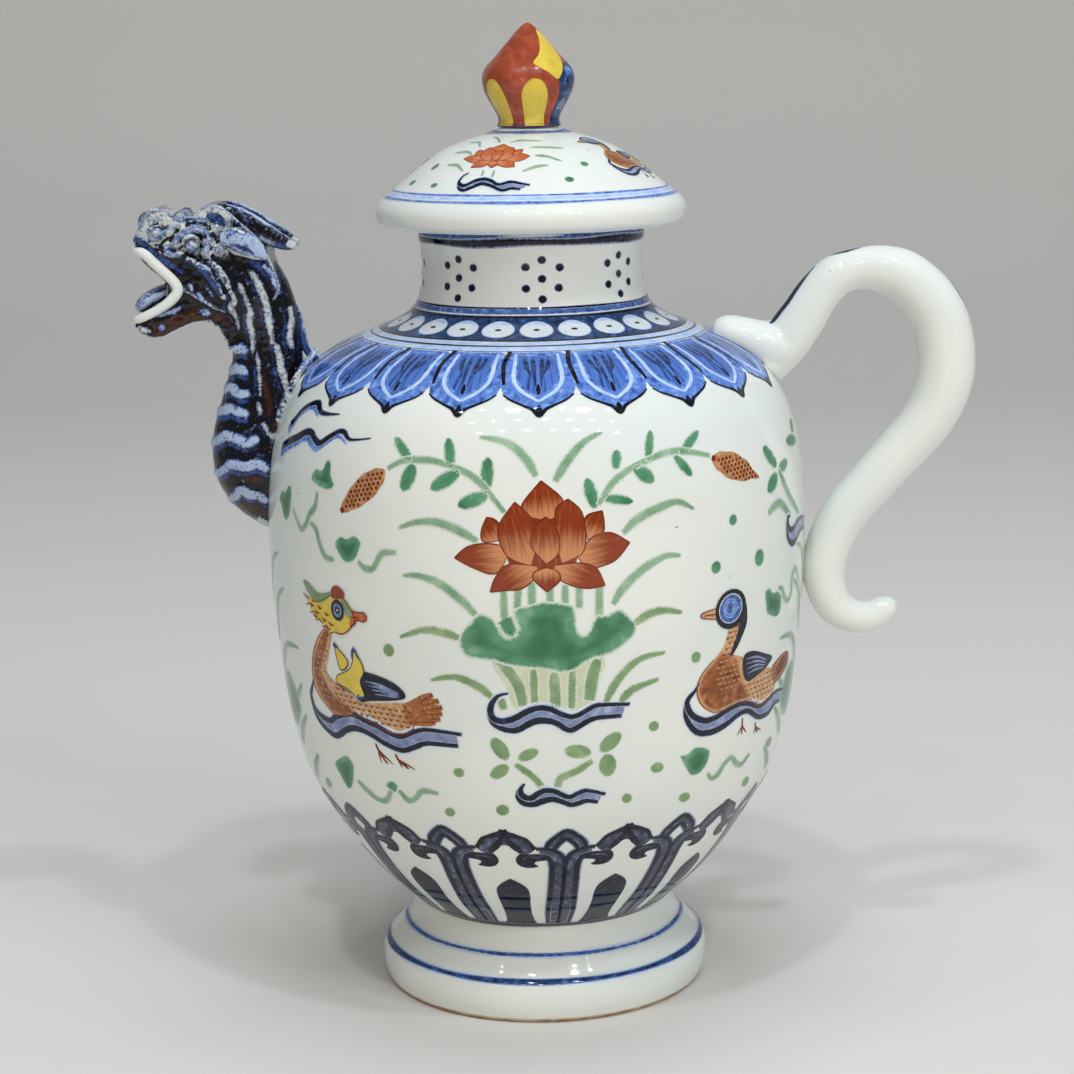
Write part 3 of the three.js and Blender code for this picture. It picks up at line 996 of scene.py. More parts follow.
def dress(made: Shape, marks: Sequence[Mark], rough_mm: float) -> None:
    """Model the marks on a moulded shape, and leave its glaze tones and how sharp it is on its points.

    Args:
        made: The shape, in metres about the pot's axis.
        marks: The bands, of which a later one lies over those before it.
        rough_mm: How far the thick glaze stands in lumps.
    """
    layers = {tone: made.verts.layers.float.new(tone) for tone in TONES}
    made.normal_update()
    made.verts.ensure_lookup_table()
    tree = KDTree(len(made.verts))
    for vert in made.verts:
        tree.insert((vert.co.x / MM, 0, vert.co.z / MM), vert.index)
    tree.balance()
    rise = [0.0] * len(made.verts)
    for mark in marks:
        share = {}
        line = smooth_line([(*p, 0) for p in mark.path], 8)
        for i, (x, z, _) in enumerate(line):
            at = i / (len(line) - 1) * (len(mark.half) - 1)
            low = min(int(at), len(mark.half) - 2)
            half = mark.half[low] + (mark.half[low + 1] - mark.half[low]) * (at - low)
            for _, index, far in tree.find_range((x, 0, z), half + mark.soft):
                t = min(1.0, (half + mark.soft - far) / (2 * mark.soft))
                share[index] = max(share.get(index, 0.0), t * t * (3 - 2 * t) * mark.share)
        for index, t in share.items():
            vert = made.verts[index]
            for tone, layer in layers.items():
                vert[layer] = max(vert[layer], t) if tone == mark.tone else vert[layer] * (1 - t)
            rise[index] += mark.relief * t
    for vert in made.verts:
        spot = vert.co / MM / LUMP_SIZE
        lump = noise.noise(spot) + 0.6 * noise.noise(2 * spot + Vector((7, 3, 5)))
        vert.co += vert.normal * ((rise[vert.index] + rough_mm * lump) * MM)
    # How convex each point is. The glaze paints convex points pale, partly thin glaze and partly painted
    # highlights, and hollows dark, partly pooled glaze and partly painted shade.
    ridge = made.verts.layers.float.new("ridge")
    made.normal_update()
    for vert in made.verts:
        sides = [edge.other_vert(vert).co - vert.co for edge in vert.link_edges]
        vert[ridge] = -sum(side.dot(vert.normal) for side in sides) / sum(side.length for side in sides)


@dataclass
class Spout:
    """The moulded beast: a hollow neck that swells at the root, and a head with open jaws.

    Sizes are millimetres about the pot's axis. A station has x, z and radius, and y where it isn't 0. A list
    that ends in marks holds, for each tone of the glaze, paths of x and z with their half width.
    """

    axis_x: float
    neck: Stations = (
        (-60, 149, 12), (-68, 149.5, 15.2), (-76.2, 155, 16.6), (-78.6, 163, 15.2), (-78.2, 174, 12.2),
        (-76.8, 186, 10.2), (-77.2, 197, 10), (-80.4, 206, 10.4), (-84, 211, 9.4), (-88, 214, 7),
    )
    bore: Stations = (
        (-66, 152, 7), (-75.5, 156, 8), (-78.6, 165, 7.4), (-78.2, 175, 6.6), (-77.4, 186, 6.2),
        (-78.2, 196, 6), (-83, 204.5, 5.4), (-90, 207.6, 5), (-97, 208, 5), (-104, 207.8, 5.6),
    )
    head: Path = (
        (-100.6, 207.8), (-106.6, 214.2), (-111.8, 218), (-113.2, 220.6), (-112.3, 223), (-109.6, 228),
        (-107.9, 229.9), (-105.6, 230.2), (-103.6, 229), (-101.8, 227.4), (-99, 229), (-96, 227.7),
        (-93, 230.5), (-88.5, 231), (-82.6, 226.6), (-76.4, 220), (-73.2, 212.5), (-72, 205.6), (-78, 201.5),
        (-88, 200.4), (-95, 204.2),
    )
    jaw: Path = (
        (-100.4, 206.8), (-105.6, 202.2), (-112.6, 199), (-114, 197.6), (-113, 195.5), (-110.5, 193.8),
        (-107.5, 193.2), (-102.5, 195.4), (-97, 197.6), (-92.5, 197.4), (-89.4, 194.6), (-87, 190),
        (-82, 190), (-82, 200), (-88, 204), (-95, 206),
    )
    palate: Stations = ((-111.2, 217.3, 1.5), (-109, 214.9, 2), (-105.5, 212, 2), (-102.5, 209, 2))
    tongue: Stations = (
        (-101, 205.4, 1.8), (-105, 206, 2.2), (-109, 204.6, 2.3), (-112, 202.4, 2.2), (-113.2, 200.8, 1.4),
    )
    bumps: Sequence[tuple[Station, float]] = (
        ((-108.8, 226.4, 4.6), 3.0), ((-104.6, 227.6, 4.6), 2.2), ((-99.2, 227.2, 5.6), 2.5),
        ((-95.6, 226.4, 6.6), 1.7), ((-92.6, 227.4, 6.4), 2.2), ((-106, 223, 7.6), 2.5),
        ((-102.2, 223.8, 7.8), 1.5), ((-100.8, 220.2, 8.8), 1.3), ((-103, 219.6, 8.4), 1.3),
        ((-91.5, 220.6, 8.8), 1.9), ((-92.2, 217.8, 9), 1.6), ((-88.8, 218.4, 8.8), 1.7),
        ((-109.8, 222, 6.6), 1.6), ((-110.6, 224.4, 5.2), 1.2), ((-103.6, 226, 6.8), 1.0),
        ((-89, 224.6, 8), 1.5), ((-98.6, 225, 8.4), 0.9), ((-88.4, 228.6, 6), 1.3),
        ((-85.6, 225.6, 7.6), 1.1), ((-107.6, 219.8, 7.6), 1.0),
    )
    folds: Sequence[Stations] = (
        ((-98, 216.2, 0.9, 8.8), (-94.5, 214.2, 1.3, 9.2), (-91.8, 211.5, 1.4, 9.2), (-89.8, 208, 1.2, 9),
         (-87.5, 204.5, 0.7, 8.6)),
        ((-93, 216.4, 0.8, 8.8), (-89.5, 213.5, 1.2, 9.2), (-87, 210, 1.2, 9.2), (-85.6, 206, 0.7, 9)),
        ((-101.2, 220.4, 0.7, 8.8), (-98.8, 223, 1.2, 9.3), (-94.4, 224.4, 1.3, 9.2), (-91, 222.8, 0.8, 8.8)),
        ((-105.6, 218.2, 0.6, 8.2), (-101.6, 217.2, 0.9, 8.8), (-98.6, 218, 0.6, 8.8)),
    )
    lip: Stations = (
        (-113.9, 198.4, 1.2, 0), (-113.6, 198.4, 1.25, 4), (-112.6, 198.9, 1.35, 6.4), (-110, 200, 1.4, 7.4),
        (-106, 202, 1.4, 7.8), (-102.6, 204.5, 1.6, 7.9), (-100.8, 207, 1.6, 7.9), (-101.8, 209.5, 1.6, 7.9),
        (-105.2, 213, 1.55, 7.8), (-107.4, 215.2, 1.55, 7.7), (-109.4, 217.2, 1.55, 7.7),
        (-111.6, 218.6, 1.6, 6.8), (-112.8, 219.2, 1.5, 4.8), (-113.2, 219.4, 1.4, 0),
    )
    nape: Stations = (
        (-78, 215.5, 0.8), (-73.6, 210.6, 1.1), (-70.4, 204.4, 1.2), (-67.8, 198.5, 1.2), (-66.6, 193, 1.2),
        (-65.4, 188.6, 1.3), (-62.6, 186, 1.5), (-58, 183.6, 1.5),
    )
    horn: Stations = (
        (-93, 227.6, 3, 5.2), (-88, 227.8, 3.5, 5.4), (-84, 226.9, 3.5, 5.7), (-80, 225.2, 3.3, 6),
        (-75.5, 222.5, 3, 6.2), (-71, 220.2, 2.3, 6.4), (-68, 219.2, 1.6, 6.5), (-66.9, 218.9, 0.9, 6.5),
    )
    ear: Stations = (
        (-88, 221.6, 1.6, 9.4), (-86, 221.6, 2.6, 9.5), (-83.4, 221, 4, 9.7), (-80.5, 219.6, 3.6, 9.8),
        (-77.6, 217.6, 2.4, 9.8), (-75.4, 216.4, 1.3, 9.7), (-74.6, 216.1, 0.8, 9.6),
    )
    eye: Station = (-96, 219.8, 9.2)
    seam: Stations = (
        (-63, 188, 1.0, 3), (-66.5, 183.6, 1.1, 7.5), (-70.5, 176.5, 1.3, 10.6), (-74.5, 167, 1.1, 12.6),
        (-76.6, 157, 0.9, 13.6),
    )
    lid_fold: Stations = (
        (-98.6, 220.4, 0.35, 11), (-97.6, 222, 0.55, 11), (-96, 222.6, 0.6, 11), (-94.2, 222, 0.35, 11)
    )
    body_marks: Sequence[tuple[str, Sequence[tuple[Path, float]]]] = (
        ("brown", (
            (((-112, 197), (-107, 195.6), (-101, 198.6), (-93, 200.4), (-86, 197)), 2.2),
            (((-81.8, 197), (-82.4, 184)), 0.8), (((-77.6, 184), (-75.4, 172), (-74, 167)), 1.4),
            (((-83, 153.4), (-78, 153)), 1.2), (((-85, 145), (-79.5, 144.5), (-79, 142)), 1.6),
        )),
        ("cobalt", (
            (((-113, 222.6), (-109, 219.6), (-104, 215.6), (-99, 212)), 1.0),
            (((-90.5, 228), (-87, 226)), 1.4),
            (((-98, 215.5), (-95, 213), (-92, 211.2), (-90.5, 208.5), (-89, 206)), 1.2),
            (((-82.3, 196), (-81.5, 182)), 0.5), (((-77.8, 208), (-77, 203), (-76.8, 190)), 0.5),
            (((-79.5, 215), (-76.5, 213), (-73.4, 208)), 1.4), (((-110, 201.6), (-107, 203.6)), 0.8),
        )),
        ("pale", (
            (((-113, 201.4), (-109.5, 204), (-105.5, 205.8)), 1.5), (((-64, 188.5), (-66.5, 184)), 0.8),
            (((-112, 224.4), (-110.6, 226.6)), 0.8), (((-107.4, 222.4), (-104.8, 223.6)), 1.7),
            (((-100.4, 228), (-98, 227.8)), 1.4), (((-96.8, 226.6), (-92, 226.6)), 0.8),
            (((-100.8, 220.8), (-98, 223.2), (-94, 224.4), (-91.4, 223)), 0.9),
            (((-91.6, 220.4), (-92, 218)), 1.0), (((-88.8, 218.6), (-88.6, 218.2)), 0.9),
            (((-104.5, 219), (-100.5, 217)), 0.6), (((-103, 217.6), (-98, 216.2)), 0.5),
            (((-93.5, 214.5), (-91, 212.8), (-89, 210.5), (-87.8, 207.5)), 0.8),
            (((-97.5, 208.5), (-96.5, 207)), 0.7), (((-95, 206.5), (-94, 203.5)), 0.8),
            (((-92.5, 208), (-91, 205.5)), 0.7), (((-94.4, 200.6), (-92.6, 200.2)), 1.0),
            (((-107, 199.6), (-102.6, 201), (-100.4, 202)), 0.7),
            (((-76, 213.5), (-74, 211), (-72.5, 206)), 1.0), (((-66, 188), (-64, 184.6), (-61, 182.4)), 0.9),
            (((-113.4, 202.4), (-111.6, 204.6), (-108.6, 206.6), (-105, 208)), 0.7),
            (((-106.6, 196.2), (-105.4, 196.6)), 0.9),
        )),
        ("cream", (
            (((-112.4, 196.4), (-109.6, 195.4)), 0.9), (((-108, 230), (-105.6, 230.4)), 0.5),
            (((-106.4, 223.4), (-105.4, 223.6)), 1.0), (((-99.6, 228.4), (-98.6, 228.4)), 0.8),
            (((-85.3, 206), (-84.8, 203.5), (-86, 202), (-84.6, 199), (-84, 196)), 0.9),
            (((-83, 208.5), (-81.5, 205)), 0.8),
            (((-81.5, 204.5), (-80.3, 201), (-80.6, 198), (-80, 192), (-80.2, 189)), 0.95),
            (((-79.5, 211.5), (-78, 209), (-76.2, 204.5), (-75.4, 200), (-75, 196), (-74.4, 192)), 1.1),
            (((-73.2, 190.5), (-72.6, 187), (-72.3, 184.5), (-71.3, 180), (-70, 176)), 1.1),
            (((-79, 189), (-78.4, 183), (-78.3, 177)), 0.55), (((-78.9, 174.5), (-78.3, 172)), 0.8),
            (((-77.5, 169), (-75.8, 166), (-75, 165.3)), 0.7), (((-80, 140.5), (-77.5, 137)), 1.6),
            (((-69.5, 201), (-69.2, 197), (-69.8, 192), (-69, 190)), 0.9),
        )),
    )
    bands: Sequence[Path] = (
        ((-86.4, 189.2), (-83.6, 190), (-82.4, 189.5)), ((-87, 183.1), (-84.6, 184.2), (-82.8, 183.6)),
        ((-88.8, 177.8), (-86.5, 178.6), (-84.8, 177.3), (-82.4, 177.3)),
        ((-91.6, 171), (-89, 172.2), (-87, 173), (-85, 172.3), (-82.6, 171.6)),
        ((-93.4, 162), (-90.6, 164), (-88, 165.3), (-85, 164.5), (-82.5, 163.5), (-79.8, 164.4)),
        ((-92, 153.6), (-89.4, 155.6), (-87.3, 157.3), (-84.5, 157), (-82, 157), (-79.5, 157.8),
         (-77, 156.4)),
        ((-88.8, 145.6), (-86, 148.3), (-84.6, 149.8), (-82, 148.6), (-79.8, 148.6), (-77.8, 147)),
    )
    veil: Sequence[tuple[Path, float]] = (
        (((-111, 224), (-106, 227.5), (-100, 227), (-92, 228.5), (-87, 227)), 2.6),
        (((-108, 221), (-103, 222), (-98, 221), (-93, 219), (-88, 218.6)), 2.8),
        (((-98, 225), (-92, 224.5), (-86, 223.5)), 2.0),
    )
    horn_marks: Sequence[Mark] = (
        Mark("cobalt", ((-79, 222.6), (-74, 219.8), (-69, 218)), (0.8, 1.2, 0.8)),
        Mark("pale", ((-86, 231.2), (-80, 229), (-75, 225.7), (-70, 222.6)), (0.4, 0.7, 0.7, 0.5), soft=0.4),
        Mark("cream", ((-76.5, 221.5), (-73, 219.6)), (0.8, 0.6), share=0.8),
        Mark("cream", ((-68.4, 219.6), (-67, 218.8)), (1.2, 1.2), soft=0.5),
    )
    ear_marks: Sequence[Mark] = (
        Mark("pale", ((-88, 221.6), (-83.4, 221), (-78, 218), (-74.6, 216.1)), (1.4, 4, 3.4, 1.2), share=0.9),
        Mark("cobalt", ((-84.5, 220), (-81.5, 219), (-78.5, 217.4)), (0.3, 0.7, 0.3), soft=0.5, share=0.7),
        Mark("cream", ((-86, 218.8), (-82, 216.6), (-77, 215.4)), (0.7, 0.9, 0.7), soft=0.5),
        Mark("cream", ((-84.4, 224.8), (-81, 223.2)), (0.7, 0.5), soft=0.5),
    )
    body_voxel: float = 0.46
    trim_voxel: float = 0.35
    rough_mm: float = 0.09

    def marks(self) -> list[Mark]:
        """The bands and touches of glaze on the head and neck, from the ground up."""
        out = [Mark("cream", path, (half, half), 0.0, 1.5, 0.88) for path, half in self.veil]
        for tone, paths in self.body_marks:
            for path, half in paths:
                if tone == "cream" and len(path) > 2:
                    out.append(
                        Mark("cobalt", [(x - half - 0.7, z) for x, z in path], (0.3, 0.8, 0.4), share=0.8)
                    )
                relief = 0.35 if tone == "cream" else 0.0
                out.append(Mark(tone, path, (0.7 * half, half, half, 0.6 * half), relief, 0.75, 0.9))
        for path in self.bands:
            out.append(Mark("cobalt", [(x, z - 2.0) for x, z in path], (0.8, 1.0, 0.8), 0.1, 0.8))
            out.append(Mark("pale", path, (1.2, 1.6, 1.2), 0.5, 0.8))
        return out

    def paired(self, stations: Stations, side: float) -> list[Station]:
        """The stations on the left of the head at side -1, or on its right at side 1."""
        return [(x, z, radius, y * side) for x, z, radius, y in stations]

    def finish(self, name: str, made: Shape, marks: Sequence[Mark], rough_mm: float, *nodes: str) -> None:
        """Dress a moulded shape under the run glaze and let it stand for its CAD nodes."""
        dress(made, marks, rough_mm)
        material = bpy.data.materials.get(BeastGlaze.name) or BeastGlaze().material()
        piece = piece_from(name, shifted(made, self.axis_x), material, "ewer")
        if nodes:
            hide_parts(*nodes)

    def body(self) -> None:
        """Press the neck, head, jaw and every knob into one skin, and bore it."""
        clay = [
            loft(self.neck, 40, 6, 0.92),
            pillow(self.head, 6.4, ((0.7, 1.2), (1.2, 1.0), (1.8, 0.8))),
            pillow(self.jaw, 5.4, ((0.9, 1.4), (0.9, 0.9), (0.9, 0.5))),
            loft(self.palate, 16, 3, 3.0),
            loft(self.tongue, 24, 4, 2.4),
        ]
        for side in (-1, 1):
            for (x, z, y), radius in self.bumps:
                clay.append(pebble((x, y * side, z), radius, detail=3))
            clay += [loft(self.paired(fold, side), 12, 4) for fold in (*self.folds, self.seam)]
        made = moulded(clay, self.body_voxel, 3, loft(self.bore, 20, 4))
        nodes = ("spout_neck", "beast_head", "lower_jaw", "left_nostril", "right_nostril")
        self.finish("beast_spout_glazed", made, self.marks(), self.rough_mm, *nodes)

    def trimmings(self) -> None:
        """Add the pale lip, the nape with a painted highlight along its crest, and each side's horn, ear, eye
        and the fold over it.
        """
        glaze = bpy.data.materials[ClearGlaze.name]
        mouth = (-106, 0, 209)
        back = self.paired(self.lip[-2:0:-1], -1)
        made = moulded([loft([*self.lip, *back, self.lip[0]], 16, 5, heart=mouth)], self.trim_voxel, 3)
        piece_from("beast_lip_glazed", shifted(made, self.axis_x), glaze, "ewer")
        rim = [
            Mark("cobalt", [s[:2] for s in self.nape], (1.8, 1.8)),
            # A pale line along the nape's crest, over its cobalt band: a painted highlight.
            Mark("pale", [(x + 1, z + 0.7) for x, z, _ in self.nape], (0.5, 0.5))
        ]
        made = moulded([loft(self.nape, 16, 6)], self.trim_voxel, 2)
        self.finish("nape_ridge_glazed", made, rim, 0.03, "nape_ridge")
        for side, name in ((-1, "left"), (1, "right")):
            for part, stations, squash, marks in (
                ("horn", self.horn, 0.62, self.horn_marks), ("ear", self.ear, 0.5, self.ear_marks)
            ):
                made = moulded([loft(self.paired(stations, side), 20, 5, squash)], self.trim_voxel, 2)
                self.finish(f"{name}_{part}_glazed", made, marks, self.rough_mm, f"{name}_{part}")
            x, z, y = self.eye
            iris = [
                Mark("pale", ((x - 0.4, z), (x + 0.4, z)), (1.4, 1.4)),
                Mark("cream", ((x, z + 1), (x + 1, z)), (0.7, 0.7))
            ]
            self.finish(f"{name}_eye_glazed", pebble((x, y * side, z), 2.0), iris, 0.05, f"{name}_eye")
            self.finish(f"{name}_eyelid_glazed", loft(self.paired(self.lid_fold, side), 12, 5), [], 0.0)

    def build(self) -> None:
        """Mould the whole beast."""
        self.body()
        self.trimmings()


@dataclass(frozen=True)
class Petal:
    """A pointed petal: its root, the bend of its left side, its tip and the bend of its right side."""

    root: Point
    left: Path
    tip: Point
    right: Path


@dataclass
class PondScene:
    """The pond on one face of the body: a lotus among grasses, with ducks, sprays and creepers on both sides.

    Points are millimetres across and up from the lotus's middle, unless a creature has its own canvas. A list
    of blades, stems or dots gives the half width of each.
    """

    palette: Palette
    skin: Skin
    turn: float = 0.0
    petals: Sequence[Sequence[Petal]] = (
        (
            Petal((1, 5), ((-4, 6.5), (-5, 9.5)), (0, 15.5), ((5.5, 10.5), (4.5, 6.5))),
            Petal((-10.5, 0), ((-15.5, -0.5), (-16, 2.5)), (-14.5, 6), ((-12.5, 5.5), (-10.8, 3.5))),
            Petal((12, -0.5), ((11.5, 5.5),), (16, 7), ((16.5, 4), (16, 1))),
        ),
        (
            Petal((-9, -4), ((-12.5, -9), (-18.5, -7.5)), (-23.5, -5), ((-20, -2), (-15.5, -1), (-11, -1.5))),
            Petal(
                (8.5, -4), ((12, -8), (16.5, -7.5), (20, -6)), (23.5, -2),
                ((18.5, 1), (14, 0.5), (11.5, -1.5))
            ),
        ),
        (
            Petal((-3, -7), ((-9, -4.5), (-11.5, 0.5), (-11, 4.5)), (-7, 10), ((-3, 6), (-1, 1))),
            Petal((5, -6.5), ((10.5, -4), (11.5, 0.5), (10.5, 7)), (7, 10.5), ((4, 8.5), (3.5, 5), (4, -2))),
        ),
        (
            Petal(
                (-1.5, -7), ((-9, -6.5), (-12.5, -10)), (-14, -14), ((-10, -13.5), (-5.5, -13), (-1.5, -9.5))
            ),
            Petal((3, -7), ((9, -6.5), (14, -8)), (16.5, -13), ((12, -13.5), (7.5, -12.5), (3.5, -10))),
        ),
        (
            Petal((1, -7.5), ((-2, -8.5), (-2.5, -10.5)), (1, -14), ((4.5, -11), (3.8, -8.5))),
            Petal((1, -6.5), ((-2.5, -2.5), (-3, 0.5), (-1.5, 4)), (1, 6), ((3.5, 3.5), (4.5, 0), (4, -4))),
        ),
    )
    calyx: Path = ((-9, -6), (-9, 4), (-4, 8), (4, 9), (9, 4), (9, -6), (4, -9), (-2, -9))
    leaf: Path = (
        (-23, -27), (-21, -32), (-14, -33), (-9, -34.5), (0, -35.5), (4, -36.5), (8, -36), (12, -33.5),
        (16, -32.5), (20, -31), (25.3, -26), (22, -20.5), (19.5, -19.8), (17, -21), (14.5, -20.8),
        (13, -22.5), (12, -25), (10.5, -26.2), (9, -24.5), (8.7, -21), (8, -18), (4.5, -17), (0, -16.6),
        (-4, -17.5), (-8, -18.7), (-7.5, -22), (-6.8, -24.5), (-8.5, -26.6), (-11, -25.5), (-12.5, -22.5),
        (-14, -20.8), (-17, -19.8), (-19.5, -22),
    )
    stems: Sequence[tuple[float, Path]] = (
        (1.2, ((-12.5, -33), (-9.5, -36), (-7, -40), (-5.8, -46))), (0.9, ((-3, -35), (-2.8, -46))),
        (1.2, ((2.5, -36), (2.8, -46.5))), (0.9, ((7.5, -35.5), (7, -47))),
        (1.3, ((14.5, -33), (12.8, -38), (11.8, -45))), (0.9, ((-12, -43), (-11, -47))),
        (0.85, ((-10.5, -11), (-10.2, -22), (-8, -24))), (0.8, ((-6.5, -12), (-7, -19))),
        (0.9, ((-3, -11), (-3, -18))), (0.8, ((1.8, -12), (1.8, -18))), (0.8, ((5.8, -12), (5.8, -18))),
        (0.8, ((9.5, -12), (9.5, -19))), (0.9, ((15, -11), (14.8, -22))),
        (0.8, ((-8.5, -62.5), (-4, -66), (-0.8, -70))), (0.9, ((12.8, -62), (8.5, -65), (4, -67), (3, -70))),
        (0.9, ((80.5, 10.5), (87, 2.5), (97, -5))), (1.0, ((73, -0.5), (77, 1), (81, 1), (88, -4))),
    )
    rushes: Path = ((-14, -32), (-11, -40), (-8, -47), (2, -48), (12, -48), (15, -40), (16, -32), (2, -30))
    grass_widths: Widths = (1.0, 1.6, 1.5, 1.1, 0.6)
    grass: Sequence[Path] = (
        ((-17, -0.5), (-22, 2.2), (-28, 4.2), (-34, 4), (-39.8, 2)),
        ((-18, -20.5), (-22, -16.4), (-28, -12.2), (-34, -10.5), (-39, -10.8)),
        ((-22.5, -27), (-27, -25.7), (-33, -25.3), (-40.5, -28)),
        ((-14, -43.5), (-18, -40.2), (-24.5, -37.9), (-31.5, -39.3)),
        ((-1.2, 16.5), (-4, 21.6), (-9, 25.8), (-16.2, 27.2)),
        ((3.5, 15), (7, 20.5), (11.5, 25.3), (16.8, 28)),
        ((21.5, 0.5), (26, 4.2), (33, 6.8), (38, 7.5), (43.2, 5)),
        ((18.5, -18.5), (22, -13.6), (28, -9), (34, -6.6), (38.8, -7)),
        ((24, -24.5), (29, -21.9), (34, -21.5), (39.2, -22.8)),
        ((16, -46), (20, -39.2), (26, -34.2), (33.8, -33.2)), ((20.5, -46), (24, -42.6), (32, -40.4)),
    )
    vines: Sequence[Path] = (
        ((-43, 17.5), (-38, 20), (-33.5, 20.5), (-29, 20.5), (-25, 19.5), (-20.5, 18), (-16.5, 15.5),
         (-13.5, 12), (-9.5, 7)),
        ((49.5, 18.5), (41.5, 20.5), (36, 21), (31, 20), (24, 17.5), (19.5, 14.5), (17, 11.5), (15, 8.5)),
        ((-83, 2.5), (-80, -1), (-78, -2.5), (-75.5, -1), (-73.5, 2), (-70.5, 5), (-69.5, 9)),
        ((-73.5, 0), (-70.5, -1.5), (-69, -5), (-66.5, -8.5), (-62.5, -9)),
        ((-53.5, -8), (-51.5, -9.8), (-48.5, -9.8), (-46.5, -7), (-44.5, -5), (-40.3, -4.7)),
        ((-58.5, -73.5), (-55, -76), (-51, -78.3), (-47.5, -78), (-45.5, -74)),
        ((-43, -73.5), (-40, -76.5), (-37.5, -75.5), (-35, -72.8), (-30, -73)),
        ((48.5, -71.5), (50, -73.7), (52.5, -73.3), (55, -70.5), (58, -69), (60.5, -71.5), (63.5, -72.5),
         (67.5, -69.8)),
        ((79, -22.5), (82, -23.5), (83.5, -26), (86.5, -27.8), (89.5, -26), (90, -21.5), (93, -19.8),
         (96, -22), (99, -26)),
    )
    blades: Sequence[tuple[float, Point, Point]] = (
        (1.6, (-35.5, 20), (-40.5, 26.3)), (2.0, (-34.5, 19.5), (-38.3, 11.8)),
        (1.6, (-24, 18.5), (-24.5, 27)), (1.9, (-21.5, 18), (-30, 12.8)), (1.8, (-14.5, 13), (-13.8, 22)),
        (1.9, (-14, 12), (-22.5, 8.7)), (1.5, (39, 20), (45.8, 25.8)), (1.4, (37.2, 20), (42.8, 13.8)),
        (1.4, (29.2, 19), (30.3, 27.5)), (1.9, (25, 18), (31, 13.4)), (1.5, (20, 17.5), (20.5, 23)),
        (1.7, (14.2, 7.5), (12, 16)), (1.4, (15.8, 10.5), (24.8, 8.8)), (1.8, (79.3, 11.5), (72, 18)),
        (1.7, (80.3, 10.5), (87.5, 11.8)), (2.2, (79.5, 9.5), (73, 5.5)), (1.7, (100, 16), (88, 17)),
    )
    lobed: Sequence[Path] = (
        ((-72.5, 12.5), (-70.5, 15), (-67.5, 15), (-65.5, 17.8), (-63.5, 17.6), (-63.3, 14), (-62, 11.6),
         (-64.5, 9.8), (-71, 10.8)),
        ((-93.5, 3.5), (-91, 6.5), (-88.5, 6.3), (-86, 8.5), (-83.8, 8), (-84, 4), (-85, 0.5), (-87.5, -1.8),
         (-90, -1), (-91.5, 1.5)),
        ((-62.3, -4.5), (-60, -2.2), (-57.5, -2.4), (-54.5, -1.2), (-52.2, -3), (-53, -5.5), (-54.5, -8),
         (-57.5, -9.3), (-60, -8)),
        ((-68.8, -70.5), (-64, -66.8), (-61.5, -66.6), (-59.5, -69), (-60, -73), (-61.5, -77), (-64, -77.5),
         (-66.5, -74)),
        ((-47.5, -73), (-45.5, -71), (-43, -72.3), (-44.5, -75)),
        ((38.5, -64.5), (41, -64), (43.5, -62.5), (46.5, -63), (49, -64.5), (48.5, -68), (46, -71),
         (42.5, -71.3), (40.5, -68.5)),
        ((71.5, -22.5), (74, -21.5), (76, -23.2), (79, -23.5), (81.5, -25.5), (81.2, -29.5), (78.5, -31),
         (73, -29), (72, -26)),
    )
    spots: Sequence[tuple[float, float, float, float, float]] = (
        (-12.4, -58.1, 4.0, 2.2, 2.14), (-4.8, -59.8, 3.3, 1.8, 0.44), (-12.6, -64.9, 3.3, 2.0, 0.65),
        (8.6, -59.3, 4.0, 2.2, -0.14), (17.6, -57.2, 4.0, 2.3, 0.7), (16.8, -64, 2.6, 3.7, 0),
        (-44, -32, 2.0, 2.0, 0), (43.5, -36, 1.8, 1.8, 0), (50.5, -11.8, 1.9, 1.9, 0),
        (68.5, -12, 2.4, 2.6, 0), (57, 0.3, 1.7, 1.7, 0), (30.2, -54, 1.7, 1.7, 0),
        (31.3, -66.6, 2.2, 1.8, 0), (22.3, -75, 1.7, 1.7, 0), (79.5, -70, 2.8, 2.0, 0),
        (67, -79.8, 2.2, 2.0, 0), (40.5, -78, 2.2, 1.8, 0), (-75, -79, 2.0, 2.0, 0),
        (-24, -65.8, 1.8, 1.6, 0), (-27, -78.8, 1.7, 1.7, 0), (-12, -77, 2.0, 2.0, 0),
        (98, 20, 2.6, 2.0, 0.4),
    )
    side_leaf: Path = (
        (31, -57), (29, -51), (25, -48), (20, -48), (15, -50), (11, -56), (15, -63), (21, -65), (27, -62)
    )
    side_grass: Sequence[Path] = (
        ((10, -30), (14, -22), (20, -15.5), (27.5, -12.5)), ((16, -40), (20, -30), (25, -25), (31, -22)),
        ((16, -50), (22, -43), (29, -38.8), (38, -38)), ((26, -56), (31, -53), (36, -49)),
        ((22, -70), (29, -63), (35, -58.5)), ((25, -80), (30, -75), (36, -70)), ((4, -20), (5, -6), (10, 4)),
        ((2, -62), (6, -72), (8, -80)),
    )
